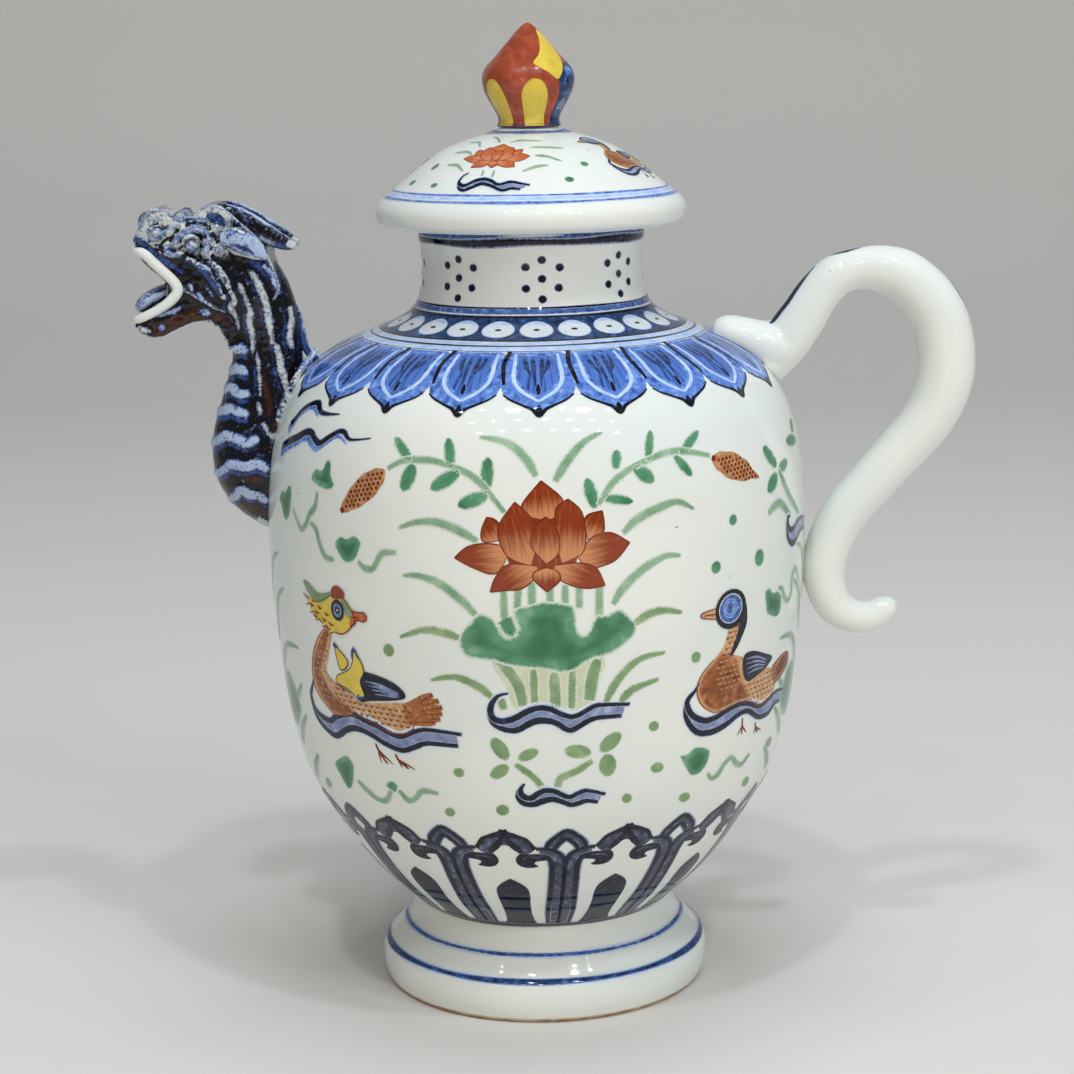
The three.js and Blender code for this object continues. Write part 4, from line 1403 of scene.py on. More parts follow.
    waves: Sequence[tuple[Path, Path]] = (
        (
            ((-9.7, -42), (-12.5, -42.8), (-14.5, -45.5), (-14.5, -48.5), (-12.5, -50), (-9, -49.5),
             (-5, -47.3), (-2, -46.3), (1, -46.5), (4.5, -48.3), (8, -49), (13, -46.5), (16, -46.2),
             (23.3, -46.7)),
            ((-15.5, -48), (-14, -51), (-10.5, -52.5), (-7.5, -52.5), (-4, -50.5), (-1, -49.8), (2.5, -50.5),
             (5.5, -52.5), (7.5, -52.7), (10.5, -51), (14, -49.8), (21, -49.8)),
        ),
        (
            ((-5.8, -68.5), (-6.8, -69.8), (-7, -71.5), (-5.8, -72.8), (-4, -73), (-2.5, -71.8),
             (-0.5, -70.8), (2, -71), (6, -73), (8.5, -72), (11, -71.3), (16.3, -73)),
            ((-7.8, -70.5), (-7.8, -73), (-6, -74.8), (-3.5, -75), (-1, -74), (1.5, -73.5), (4, -74.3),
             (6.5, -75.5), (8.5, -75.2), (11, -74.5), (14.2, -75.3)),
        ),
        (
            ((87.8, -3.6), (86, -3.8), (85.6, -5.5), (87.5, -7.5), (91, -7.6), (95, -6.3), (100, -6.4),
             (107, -7.5)),
            ((84.6, -5), (85.5, -9), (88.5, -11.5), (92.5, -11.5), (96.5, -10), (101, -9.5), (107, -10.5)),
        ),
    )
    pods: Sequence[tuple[Point, Point, Widths]] = (
        ((-59.5, 4.6), (-43.5, 17.2), (0.6, 2.0, 3.2, 3.6, 2.6, 0.6)),
        ((49.7, 18), (69.3, 10), (0.8, 2.8, 3.8, 3.2, 1.2, 0.3)),
    )
    seed_gap: float = 1.35
    olive_below: float = -24

    def at(self, degrees: float, run: float, **how: float) -> Canvas:
        """A canvas on this face."""
        return Canvas(self.skin, math.radians(degrees) + self.turn, run, **how)

    def lotus(
        self, place: Placer, pigment: Pigment = Pigment.RED, outline_half: float = 0.2, step: float = 1.7
    ) -> None:
        """Paint the lotus: petals streaked from root to tip, each with a fine dark outline."""
        palette = self.palette
        palette.begin()
        palette.over()
        palette.fill(pigment, place, self.calyx, step=step)
        for row in self.petals:
            level = palette.lift
            for petal in row:
                palette.lift = level
                left, right = (petal.root, *petal.left, petal.tip), (petal.tip, *petal.right, petal.root)
                palette.fill(pigment, place, left, right, axis=(petal.root, petal.tip), step=step)
                palette.stroke(Pigment.RED_LINE, place, left, (0.1, outline_half, outline_half))
                palette.lift -= palette.lift_step
                palette.stroke(Pigment.RED_LINE, place, right, (outline_half, outline_half, 0.1))

    def wave(self, place: Placer, top: Path, bottom: Path, half: float = 0.95) -> None:
        """Paint a ribbon of water: a grey-blue wash between two dark lines, one curled over."""
        palette = self.palette
        palette.begin(1.6)
        for path in (top, bottom):
            palette.stroke(Pigment.PALE_COBALT, place, path, (half, 1.9 * half, 1.9 * half, 1.2 * half))
        palette.over()
        palette.fill(Pigment.WATER, place, top[2:], tuple(reversed(bottom)))
        palette.over(0.3)
        palette.stroke(Pigment.DARK_COBALT, place, bottom, (0.5, half, 1.2 * half, half, half, 0.8 * half))
        palette.stroke(
            Pigment.DARK_COBALT, place, top, (0.4, 1.1 * half, 1.1 * half, half, 0.9 * half, 0.7 * half)
        )

    def green(self, y: float, upper: Pigment) -> Pigment:
        """The green of a plant that starts at y: olive low in the pond, upper above that."""
        return Pigment.OLIVE if y < self.olive_below else upper

    def greenery(self, place: Placer) -> None:
        """Paint the grasses, stems, sprays, creepers and dots round the lotus."""
        palette = self.palette
        palette.begin(2.6)
        palette.lift -= 0.02
        palette.fill(Pigment.RUSH, place, self.rushes)
        for half, path in self.stems:
            pale = self.green(path[0][1], Pigment.PALE_GREEN)
            palette.strokes(pale, place, [path], (1.1 * half, 1.6 * half, 1.6 * half, 1.4 * half), 0.9)
        for path in self.grass:
            pale = self.green(path[0][1], Pigment.PALE_GREEN)
            palette.strokes(pale, place, [path], self.grass_widths, 1.0)
        palette.strokes(Pigment.PALE_GREEN, place, self.vines, (0.8, 1.3, 1.1, 1.3, 0.8), 0.9)
        palette.begin(2.4)
        palette.lift += 0.03
        palette.fill(Pigment.GREEN, place, self.leaf)
        for wide, root, tip in self.blades:
            palette.strokes(Pigment.GREEN, place, [(root, tip)], (0.6, wide, 1.2 * wide, wide, 0.3), 0.9)
        for edge in self.lobed:
            palette.begin(1.2)
            palette.fill(Pigment.GREEN, place, edge)
        for x, y, wide, tall, tilt in self.spots:
            palette.begin(0.9)
            palette.dot(self.green(y, Pigment.GREEN), place, x, y, wide, tall, tilt)
        for flip in (1.0, -1.0):
            side = self.at(-90, POND_MIDDLE, flip=flip)
            palette.strokes(Pigment.PALE_GREEN, side, self.side_grass, self.grass_widths, 1.0)
            palette.begin(2.4)
            palette.lift += 0.03
            palette.fill(Pigment.GREEN, side, self.side_leaf)

    def pod(self, place: Placer, low: Point, high: Point, widths: Widths) -> None:
        """Paint a seed head from its low to its high end: a brown spindle dotted with dark seeds."""
        palette = self.palette
        along = (Vector(high) - Vector(low)).normalized()
        side = Vector((-along.y, along.x))
        length = math.dist(low, high)
        palette.begin(0.3)
        palette.stroke(Pigment.HUSK, place, (low, high), widths)
        palette.over()
        palette.stroke(Pigment.RED_LINE, place, (low, Vector(low) + along * 1.6), (0.5, 0.9, 0.2))
        level = palette.lift
        for i in range(1, int(length / self.seed_gap)):
            share = i * self.seed_gap / length
            half = 3.5 * math.sin(math.pi * min(max(share, 0.06), 0.94)) ** 0.6 - 0.7
            for k in range(-2, 3):
                off = (k + 0.5 * (i % 2)) * self.seed_gap
                if abs(off) < half:
                    spot = Vector(low) + along * (i * self.seed_gap) + side * off
                    palette.lift = level
                    palette.dot(Pigment.RED_LINE, place, spot.x, spot.y, 0.48)

    def crested_duck(self, place: Placer) -> None:
        """Paint the duck with a yellow face, a green crest and a red comb."""
        palette = self.palette
        neck = ((-2, 9.5), (-3.5, 4.75), (-5.5, 0), (-6.5, -3.25), (-3, -5.75))
        breast = (
            (-4.25, 10.5), (-8.5, 6.75), (-12, 1.75), (-14, -4.25), (-13.25, -9.75), (-8.75, -13.5),
            (-5, -15.75)
        )
        back = ((-3, -5.75), (3.25, -7.75), (7, -9.5), (22, -7.75), (23.5, -8.25))
        belly = ((-5, -15.75), (4.5, -14), (11.5, -15.75), (16.5, -17.25), (22.25, -16.5), (24.5, -13.5))
        dark_breast = (
            (-3, 9.5), (-5, 4.5), (-7.5, 0), (-8.5, -4), (-4, -9.5), (3, -12.5), (1, -14.6), (-5, -15.2),
            (-9.5, -12.6), (-12.8, -8), (-13.3, -3.5), (-11.5, 1.5), (-8, 6.5), (-4.6, 10),
        )
        feathers = ((31, -4.6), (32.6, -6.2), (33.4, -8), (33.2, -9.8), (32.4, -11.4), (30.8, -12.6))
        face = (
            (-14.75, 18.25), (-11.75, 16.5), (-10.5, 14.5), (-8.25, 12.5), (-5.25, 11), (-2, 9.75),
            (2.25, 9.25), (5.5, 11), (7.75, 13.75), (7, 16.25), (3.75, 19.5), (-1, 19.5), (-8.25, 16.75),
        )
        wing = (
            (-1.3, -3.2), (3.7, -0.7), (5.7, 2.3), (6.2, 5.3), (8.7, 2.3), (9.4, -0.7), (7.7, -3.7),
            (8.7, -7.7), (6.2, -8.7), (2.7, -6.7), (-2.1, -5.2),
        )
        shield = ((-1.5, 5.75), (3.75, 1.5), (0.25, -1.25))
        dark_wing = (
            (9, -0.6), (14.5, -1), (19.5, -2.5), (22.5, -5), (21.25, -7), (10.75, -8.75), (6.5, -9.25),
            (7.8, -3),
        )
        palette.begin(0.25)
        palette.fill(Pigment.BUFF, place, back, tuple(reversed(belly)), (belly[0], back[0]))
        palette.over()
        for i, tip in enumerate(feathers):
            palette.stroke(Pigment.BROWN_TAIL, place, ((21.5, -9.3 - 0.8 * i), tip), (0.9, 1.0, 1.2, 0.7))
            palette.stroke(Pigment.RED_LINE, place, ((23.5, -9.2 - 0.8 * i), tip), (0.1, 0.2, 0.15))
        palette.fill(Pigment.BUFF, place, neck, (neck[-1], belly[0]), tuple(reversed(breast)))
        palette.over(1.4)
        palette.fill(Pigment.BREAST, place, dark_breast)
        palette.over()
        self.dashes(
            place, ((-3, -6.5), (8, -10), (22, -9), (23, -16), (12, -15), (-2, -13.5)), Pigment.RED_LINE,
            (2.1, 1.5)
        )
        self.dashes(
            place, ((-4, 9), (-4.5, 4), (-7, -4), (-5, -8), (-8, -4), (-8, 3), (-7, 7)), Pigment.RED_LINE,
            (2.1, 1.6)
        )
        self.dashes(
            place, ((-8, 3), (-8, -5), (-4, -12), (-9, -11.5), (-12, -7), (-12, -1)), Pigment.BUFF,
            (2.2, 1.9), 0.18
        )
        self.outlined(place, breast, back[:2], belly)
        palette.fill(Pigment.DARK_COBALT, place, dark_wing)
        for i in range(4):
            path = ((9.5 + i, -3.2 - 1.1 * i), (14.5 + i, -3.6 - 0.9 * i), (20.5, -5.2 - 0.4 * i))
            palette.stroke(Pigment.WATER, place, path, (0.12, 0.4, 0.12))
        palette.fill(Pigment.YELLOW, place, wing)
        palette.fill(Pigment.YELLOW, place, shield)
        for tip in (
            ((5.3, 2.6), (6.2, 5.6), (8, 3)), ((-0.9, 4.6), (-1.6, 5.8), (0.2, 4.8)),
            ((6.5, -7.4), (6, -8.8), (8.4, -7.9))
        ):
            palette.stroke(Pigment.MIDDLE_COBALT, place, tip, (0.3, 0.6, 0.3))
        self.outlined(place, (*wing, wing[0]), (*shield, shield[0]), pigment=Pigment.BLACK)
        palette.fill(Pigment.YELLOW, place, face)
        beak = (
            (6.6, 16.4), (9, 16.2), (11.3, 16.3), (12.2, 15), (11, 13.9), (8.6, 14), (7.4, 12.4), (5.8, 12)
        )
        palette.fill(Pigment.ORANGE, place, beak)
        self.outlined(place, beak, ((6.4, 14.6), (9.2, 14.8)), half=0.25)
        palette.fill(Pigment.OLIVE, place, ((3.4, 19.3), (6, 17.4), (6.8, 15.4), (5.2, 14.2), (3.6, 16.4)))
        palette.stroke(
            Pigment.OLIVE, place, ((-14, 21.8), (-11, 19.8), (-6.75, 18), (-1.4, 20)), (0.5, 1.3, 1.3, 0.6)
        )
        palette.fill(
            Pigment.RED, place, ((1.5, 22.75), (4.25, 21.25), (3.75, 19.5), (-0.5, 19), (-0.75, 21.5))
        )
        self.outlined(place, (*face, face[0]), half=0.2)
        for x, y in ((-12.2, 15.6), (-10.4, 13.6), (-8, 11.8), (-5, 10.4), (-2, 9)):
            palette.stroke(Pigment.YELLOW, place, ((x + 2, y + 1.4), (x - 1, y - 0.3)), (0.8, 0.6, 0.1))
            palette.stroke(Pigment.RED_LINE, place, ((x + 1.6, y + 0.5), (x - 1, y - 0.4)), (0.1, 0.2, 0.1))
        for x, y in (
            (-10, 15.8), (-7.8, 14), (-4.6, 12.4), (-6.4, 15.6), (-3.4, 14.2), (-8.6, 12.8), (-1.6, 11.6)
        ):
            palette.stroke(
                Pigment.RED_LINE, place, ((x - 1, y + 0.3), (x, y - 0.4), (x + 1, y - 0.2)),
                (0.12, 0.3, 0.12)
            )
        for pigment, size in (
            (Pigment.BLACK, 2.6), (Pigment.WATER, 1.7), (Pigment.BLACK, 0.95), (Pigment.RESERVE, 0.3)
        ):
            palette.dot(pigment, place, 1.5, 15.9, size, 1.15 * size)
        self.feet(place, ((10, -20), (10.5, -23), (13, -27)), ((16.5, -22), (17, -25), (20, -27.5)))
        self.wave(
            place,
            ((-14, -6.6), (-15, -8.5), (-17, -12.5), (-15, -16.5), (-8.5, -18), (-4.5, -16), (2, -14),
             (7, -15), (11.5, -16), (15.5, -17.5), (19.5, -18), (24, -16), (28.5, -15), (38.2, -15.6)),
            ((-16.8, -10.5), (-17, -15), (-15, -18.5), (-11, -21), (-6, -22), (-0.5, -19), (4, -18),
             (9, -19), (14, -21), (19, -22), (23.5, -20.5), (27.5, -19), (36.7, -19)),
        )

    def plain_duck(self, place: Placer) -> None:
        """Paint the duck with a blue head."""
        palette = self.palette
        front = (
            (-6, 14), (-5, 11), (-6.5, 6.5), (-9.75, 3.25), (-13.25, 0.25), (-15, -3.25), (-14.25, -7.25),
            (-11.75, -10.25), (-8, -12.5),
        )
        belly = (
            (-8, -12.5), (-3.5, -12.25), (1.25, -11.5), (6.25, -12), (11.5, -14.25), (16.5, -14.25),
            (20.5, -12), (21.5, -9.5)
        )
        tail = ((21.5, -10), (30.75, -6.75), (29.75, -2.75), (24, -2.5), (18, -4.75))
        back = ((18, -4.75), (10, -2), (0, 2.75), (-3, 3), (-0.25, 7.5), (1.75, 12), (1.5, 15))
        wing = (
            (2.5, 2.25), (6.5, 2.75), (12, 1), (17.5, -1.25), (14.75, -3.5), (9.75, -5), (4.75, -5.75),
            (2.25, -1.75)
        )
        dark_front = (
            (-7, 5), (-3.5, 4), (0, 2), (1.6, -2), (4, -6.5), (7.5, -11), (1, -11.4), (-4, -12.1),
            (-8, -12.3), (-11.6, -10.1), (-14.1, -7.1), (-14.8, -3.2), (-13, 0.1), (-9.7, 3)
        )
        palette.begin(0.25)
        palette.fill(Pigment.BUFF, place, front, belly, (belly[-1], back[0]), back, (back[-1], front[0]))
        palette.over()
        palette.fill(Pigment.BROWN_TAIL, place, tail)
        palette.over(3.0)
        palette.fill(Pigment.BREAST, place, dark_front)
        palette.over()
        self.dashes(
            place, ((-1, 2.6), (-7, 2), (-8.5, -2.5), (-5, -7), (0, -7), (2.4, -4)), Pigment.BUFF,
            (1.9, 1.6), 0.16
        )
        self.dashes(
            place, ((1, -6.5), (10, -6), (19, -5), (28, -4), (29, -6.5), (20, -10.5), (12, -13), (2, -10.5)),
            Pigment.RED_LINE, (2.0, 1.5)
        )
        self.dashes(
            place, ((-4.4, 11), (1, 12), (-1.5, 5.5), (-4, 2.5), (-7, 4), (-5.4, 7.5)), Pigment.RED_LINE,
            (2.0, 1.5)
        )
        self.outlined(place, front[3:], belly, tail)
        palette.stroke(
            Pigment.DARK_COBALT, place, ((1.2, 17), (1.2, 12), (-0.6, 7.5), (-3.2, 3.2)),
            (1.2, 1.6, 1.1, 0.5)
        )
        palette.fill(Pigment.DARK_COBALT, place, wing)
        for i in range(4):
            path = ((3.4 + 0.4 * i, 1 - 1.5 * i), (8.6, 0.6 - 1.2 * i), (14.4 - 0.5 * i, -1.6 - 0.6 * i))
            palette.stroke(Pigment.WATER, place, path, (0.12, 0.34, 0.12))
        for i in range(4):
            palette.stroke(
                Pigment.RED_LINE, place, ((21, -8.4 + i), (26, -7 + 1.1 * i), (30, -5.9 + 0.9 * i)),
                (0.12, 0.28, 0.15)
            )
        beak = ((-10, 17.75), (-14.75, 17), (-14.5, 15.75), (-9.75, 14.75))
        palette.fill(Pigment.BUFF, place, beak)
        self.outlined(place, beak, ((-10, 16.2), (-14.4, 16.3)), half=0.22)
        palette.dot(Pigment.BLACK, place, -4.1, 16.7, 6.1, 5.6)
        palette.over(0.8)
        palette.dot(Pigment.MIDDLE_COBALT, place, -4.3, 16.9, 4.6, 4.2)
        for pigment, size in ((Pigment.COBALT, 2.7), (Pigment.MIDDLE_COBALT, 1.7), (Pigment.NAVY, 0.7)):
            palette.over(0.3)
            palette.dot(pigment, place, -4.5, 17, size)
        self.feet(place, ((4.5, -16.5), (4.8, -19), (5, -21.5)), ((11.5, -19), (12, -21), (13.5, -23)))
        self.wave(
            place,
            ((-14.4, -2.6), (-15.5, -4.5), (-18, -7.5), (-16, -11.5), (-11.5, -14), (-7.5, -14), (-2, -12.5),
             (3, -12), (7.5, -13), (13, -15), (18.5, -14), (23.5, -13), (30, -14)),
            ((-18.2, -6.5), (-18.5, -10), (-17, -13.5), (-13.5, -17), (-8.5, -18), (-3, -17), (2.5, -15),
             (7, -15), (12.5, -18), (18.5, -18.5), (23.5, -16.5), (29, -17)),
        )

    def dashes(self, place: Placer, region: Path, pigment: Pigment, gap: Point, half: float = 0.22) -> None:
        """Cover a region with rows of small curved feather marks."""
        palette = self.palette
        edge = outline(region)
        low = [min(p[k] for p in edge) for k in (0, 1)]
        high = [max(p[k] for p in edge) for k in (0, 1)]
        level = palette.lift
        for row in range(int((high[1] - low[1]) / gap[1]) + 1):
            y = low[1] + row * gap[1]
            for column in range(int((high[0] - low[0]) / gap[0]) + 1):
                x = low[0] + (column + 0.5 * (row % 2)) * gap[0]
                crossings = [
                    (b[0] - a[0]) * (y - a[1]) / (b[1] - a[1]) + a[0] > x
                    for a, b in zip(edge, [*edge[1:], edge[0]])
                    if (a[1] > y) != (b[1] > y)
                ]
                if sum(crossings) % 2:
                    palette.lift = level
                    palette.stroke(
                        pigment, place, ((x - 0.65, y + 0.25), (x, y - 0.2), (x + 0.65, y + 0.2)),
                        (0.1, half, 0.1)
                    )

    def outlined(
        self, place: Placer, *paths: Path, half: float = 0.2, pigment: Pigment = Pigment.RED_LINE
    ) -> None:
        """Draw fine lines along paths."""
        for path in paths:
            self.palette.stroke(pigment, place, path, (0.6 * half, half, 0.6 * half))

    def feet(self, place: Placer, *legs: Path) -> None:
        """Paint the webbed feet below the water."""
        for leg in legs:
            self.palette.begin(0.0)
            x, y = leg[-1]
            self.palette.stroke(Pigment.RED_LINE, place, leg, (0.3, 0.4, 0.3))
            for dx in (-2, 0.2, 2.2):
                self.palette.stroke(Pigment.RED_LINE, place, (leg[-2], (x + dx, y)), (0.25, 0.3, 0.1))

    def build(self) -> None:
        """Paint the face."""
        place = self.at(1.0, POND_MIDDLE)
        self.greenery(place)
        for top, bottom in self.waves:
            self.wave(place, top, bottom)
        for low, high, widths in self.pods:
            self.pod(place, low, high, widths)
        self.lotus(place)
        self.crested_duck(self.at(-45.5, 94.1))
        self.plain_duck(self.at(45.4, 91.9))


@dataclass
class Borders:
    """The cobalt bands round the waist, shoulder and neck.

    Widths are degrees from a unit's middle, heights millimetres.
    """

    palette: Palette
    skins: dict[str, Skin]
    head: Path = ((0, 49), (-0.8, 47.5), (-3, 46.6), (-5.2, 45.3), (-6.5, 43), (-7.4, 41.3))
    head_foot: Path = ((-7.4, 41.3), (-6, 39.6), (-3.6, 39.2), (-2.4, 41), (-1, 42.6), (0, 43))
    chevron: Path = ((0, 47.5), (-1, 44.6), (-2.4, 42.2), (-3.9, 40))
    comma: Path = (
        (-10.6, 38.6), (-8.5, 39.3), (-6, 39.2), (-3.6, 39.2), (-2.5, 37.8), (-2.3, 36), (-3.2, 34.3),
        (-5, 33.5), (-6.8, 33.6), (-8.1, 34.1), (-7.3, 34.8), (-7, 35.6), (-7.8, 36.2), (-9, 36.4),
        (-10.5, 36.8),
    )
    column: Path = (
        (-8.5, 40.4), (-11, 39.6), (-13, 37.4), (-13.5, 34), (-13.3, 28), (-13.1, 20), (-12.9, 10),
        (-13.2, 0.5)
    )
    column_outside: Path = (
        (-7.6, 41.3), (-9.8, 41.3), (-12.2, 40.4), (-14.2, 38), (-14.9, 35), (-15, 30), (-15, 15), (-15, 0.5)
    )
    column_inside: Path = (
        (-10.3, 38.2), (-11.3, 36.2), (-11.7, 33), (-11.6, 28), (-11.2, 20), (-10.6, 10), (-10.9, 0.5)
    )
    peak: Path = (
        (-19.6, 41.3), (-18.6, 44.2), (-16.8, 46.2), (-15, 47.4), (-13.3, 46), (-11.5, 44), (-10.7, 41.5)
    )
    peak_outside: Path = (
        (-20.1, 41.5), (-19.3, 44), (-17.3, 46.6), (-15, 48.4), (-12.8, 46.6), (-10.8, 44), (-10.2, 41.5)
    )
    peak_inside: Path = (
        (-18.2, 40.6), (-17.3, 42.8), (-15.9, 44.6), (-15, 45.3), (-14, 44.5), (-12.8, 42.7), (-12, 40.6)
    )
    drop: Path = (
        (-0.5, 28.3), (-3.2, 26), (-4.8, 23.5), (-5.2, 20), (-5, 16), (-5, 10), (-5.6, 5), (-6.3, 0.5)
    )
    lappet: Path = ((-9, 191), (-9, 183), (-9, 175))
    lappet_edge: Path = ((-9, 175), (-8.2, 172.5), (-6.5, 170.8), (-3.5, 169), (-1.5, 167.8), (0, 165.8))
    lappet_line: Path = (
        (-6.3, 190), (-6.2, 185), (-6.2, 180), (-5.6, 176.5), (-3.8, 173.5), (-1.5, 171.5), (0, 170.5)
    )
    lappet_core: Path = ((-5, 189), (-5.2, 184), (-5.1, 180), (-4.4, 177), (-2.8, 174.4), (0, 172))
    wedge: Path = ((9.8, 191.5), (8.8, 185), (9.2, 180), (9.6, 176))
    dots: Path = ((0, 0), (0, 5.2), (-4.5, 3.3), (-4.5, -2.6), (0, -5.6), (4.6, -2.6), (5, 3))

    def unit(self, skin: str, degrees: float, run: float, flip: float = 1.0) -> Canvas:
        """A canvas whose x is in degrees."""
        return Canvas(self.skins[skin], math.radians(degrees), run, flip, fan=ONE_DEGREE)

    def ribbon(self, place: Canvas, path: Path, half: float, *edges: tuple[Path, float]) -> None:
        """Paint a slate ribbon between dark edges, each a path and its half width, in a faint halo."""
        palette = self.palette
        palette.begin(0.7)
        palette.stroke(Pigment.SLATE, place, path, (0.8 * half, half, half))
        for edge, width in edges:
            palette.stroke(Pigment.SLATE, place, edge, (width + 0.4, width + 0.5, width + 0.4))
        palette.over()
        palette.stroke(Pigment.SLATE, place, path, (0.5 * half, 0.8 * half, 0.8 * half))
        for edge, width in edges:
            palette.stroke(Pigment.DARK_COBALT, place, edge, (0.7 * width, width, width, 0.9 * width))

    def waist(self) -> None:
        """Paint the band of cloud heads that stand on ribbons above the foot."""
        palette = self.palette
        for k in range(12):
            middle = -9.3 + 30 * k
            for flip in (-1.0, 1.0):
                place = self.unit("body", middle, 0, flip)
                if flip < 0:
                    palette.begin(0.5)
                    palette.fill(Pigment.DARK_COBALT, place, (*self.drop, *mirrored(self.drop)))
                    self.ribbon(place, self.peak, 1.6, (self.peak_outside, 0.6), (self.peak_inside, 0.65))
                self.ribbon(place, self.column, 1.5, (self.column_outside, 0.65), (self.column_inside, 0.8))
                palette.over()
                palette.lift += 0.02
                palette.fill(
                    Pigment.SLATE, place, self.head, self.head_foot, (self.head_foot[-1], self.head[0])
                )
                palette.fill(Pigment.DARK_COBALT, place, self.comma)
                palette.stroke(Pigment.SLATE, place, ((-8.5, 38), (-5.4, 38), (-4, 36.8)), (0.2, 0.45, 0.2))
                palette.stroke(Pigment.DARK_COBALT, place, self.head, (0.8, 1.0, 0.6, 0.55, 0.6))
                palette.stroke(Pigment.DARK_COBALT, place, self.chevron, (0.6, 0.8, 1.0, 0.7))
        palette.begin()
        palette.lift += 0.1
        palette.line(Pigment.DARK_COBALT, self.skins["body"], 1.3, 1.3, 0.25)

    def shoulder(self) -> None:
        """Paint the lappets that hang from the shoulder, each with a dark core and a pale inner line."""
        palette = self.palette
        edge, line, core = self.lappet_edge, self.lappet_line, self.lappet_core
        for k in range(20):
            place = self.unit("body", 1.0 + 18 * k, 0)
            palette.begin(0.35)
            across = (mirrored(self.lappet)[-1], self.lappet[0])
            palette.fill(
                Pigment.COBALT, place, self.lappet, edge, mirrored(edge), mirrored(self.lappet), across
            )
            palette.over()
            axis = ((0, 172), (0, 189))
            palette.fill(
                Pigment.DEEP_COBALT, place, core, mirrored(core), (mirrored(core)[-1], core[0]), axis=axis
            )
            palette.stroke(
                Pigment.PALE_COBALT, place, (*line, *mirrored(line)[1:]),
                (0.45, 0.55, 0.5, 0.35, 0.5, 0.55, 0.45)
            )
            for x, low in ((-3.4, 179), (-1.2, 175.5), (1.4, 175), (3.2, 180)):
                palette.stroke(
                    Pigment.NAVY, place, ((x, 188), (0.9 * x, 184), (0.5 * x, low)), (0.35, 0.7, 0.15)
                )
            palette.stroke(Pigment.BLACK, place, ((0, 176), (0, 172.6)), (0.2, 0.55, 0.3))
            palette.lift += 0.03
            palette.stroke(Pigment.DARK_COBALT, place, self.wedge, (0.7, 0.6, 0.4))
            palette.stroke(
                Pigment.DARK_COBALT, place, (*edge[1:], *mirrored(edge)[1:-1]),
                (0.2, 0.3, 0.45, 0.45, 0.3, 0.2)
            )
            palette.stroke(Pigment.BLACK, place, ((0, 169), (0, 167.5), (0, 165.6)), (0.2, 0.7, 0.4))

    def collar(self) -> None:
        """Paint the ring of pale ovals on a dark ground, and the lines above and below it."""
        palette = self.palette
        body = self.skins["body"]
        palette.begin()
        palette.line(Pigment.PALE_COBALT, body, 192.9, 1.2)
        palette.line(Pigment.PALE_COBALT, body, 195.8, 0.9)
        palette.line(Pigment.MIDDLE_COBALT, body, 191.4, 0.32, 0.1)
        palette.line(Pigment.DARK_COBALT, body, 194.4, 0.5, 0.1)
        palette.line(Pigment.NAVY, body, 202.9, 5.9)
        palette.over()
        palette.line(Pigment.BLACK, body, 197.2, 0.3, 0.1)
        palette.line(Pigment.BLACK, body, 208.3, 0.35, 0.1)
        level = palette.lift
        for k in range(23):
            place = self.unit("body", 1.4 + 360 / 23 * k, 202.9)
            palette.lift = level
            palette.dot(Pigment.PALE_COBALT, place, 0, 0, 6.9, 4.0)
            palette.dot(Pigment.RESERVE, place, 0, 0, 6.4, 3.6)
            palette.dot(Pigment.DARK_COBALT, place, 0, 0, 1.4, 0.55)

    def neck(self) -> None:
        """Paint the neck's edge lines and its clusters of seven dots."""
        palette = self.palette
        skin = self.skins["neck"]
        palette.begin()
        palette.line(Pigment.MIDDLE_COBALT, skin, 1.0, 1.1)
        palette.begin(1.4)
        palette.line(Pigment.MIDDLE_COBALT, skin, 21.4, 1.8, 0.2)
        palette.fade = 0.8
        palette.line(Pigment.DARK_COBALT, skin, 1.9, 0.35, 0.1)
        palette.line(Pigment.DARK_COBALT, skin, 20.0, 1.3, 0.35)
        for k in range(8):
            for x, y in self.dots:
                palette.begin(0.9)
                palette.dot(Pigment.DARK_COBALT, Canvas(skin, math.radians(5 + 45 * k), 10), x, y, 1.35, 1.25)

    def build(self) -> None:
        """Paint all the bands."""
        self.waist()
        self.shoulder()
        self.collar()
        self.neck()


def paint_foot(palette: Palette, skin: Skin) -> None:
    """Paint the two lines round the foot, each in a thinner halo."""
    palette.begin(0.7)
    upper, lower = skin.run_at(18.0), skin.run_at(12.2)
    palette.line(Pigment.PALE_COBALT, skin, upper, 1.4)
    palette.line(Pigment.PALE_COBALT, skin, lower, 1.5)
    palette.fade = 0.5
    palette.line(Pigment.MIDDLE_COBALT, skin, upper, 0.9, 0.1)
    palette.line(Pigment.NAVY, skin, lower, 0.95, 0.1)
    palette.pieces()


def paint_flames(palette: Palette, skin: Skin) -> None:
    """Paint two dark flames on each side of the spout's root, with a blue wash under each."""
    flames = (
        ((28, 24.5), (29.9, 26.3), (32.8, 30.5), (38.2, 32.8), (43.6, 30.3), (51.9, 30.8)),
        ((26.2, 17.5), (31.2, 20), (36.2, 22), (40.2, 24), (43.2, 24.3), (46.2, 22.8), (49.2, 22),
         (52.2, 24), (55.2, 26), (57.7, 26), (61.2, 24.3), (68.2, 25.3)),
    )
    for flip in (1.0, -1.0):
        place = Canvas(skin, math.radians(-90), POND_MIDDLE, flip)
        for path in flames:
            wash = [(x - 0.4, y - 1.6) for x, y in path[:-1]]
            palette.strokes(Pigment.COBALT, place, [wash], (2.2, 2.0, 1.6, 1.0, 0.4), 1.6)
            palette.over(0.4)
            palette.stroke(Pigment.DARK_COBALT, place, path, (1.5, 1.4, 1.1, 1.1, 0.9, 0.3))


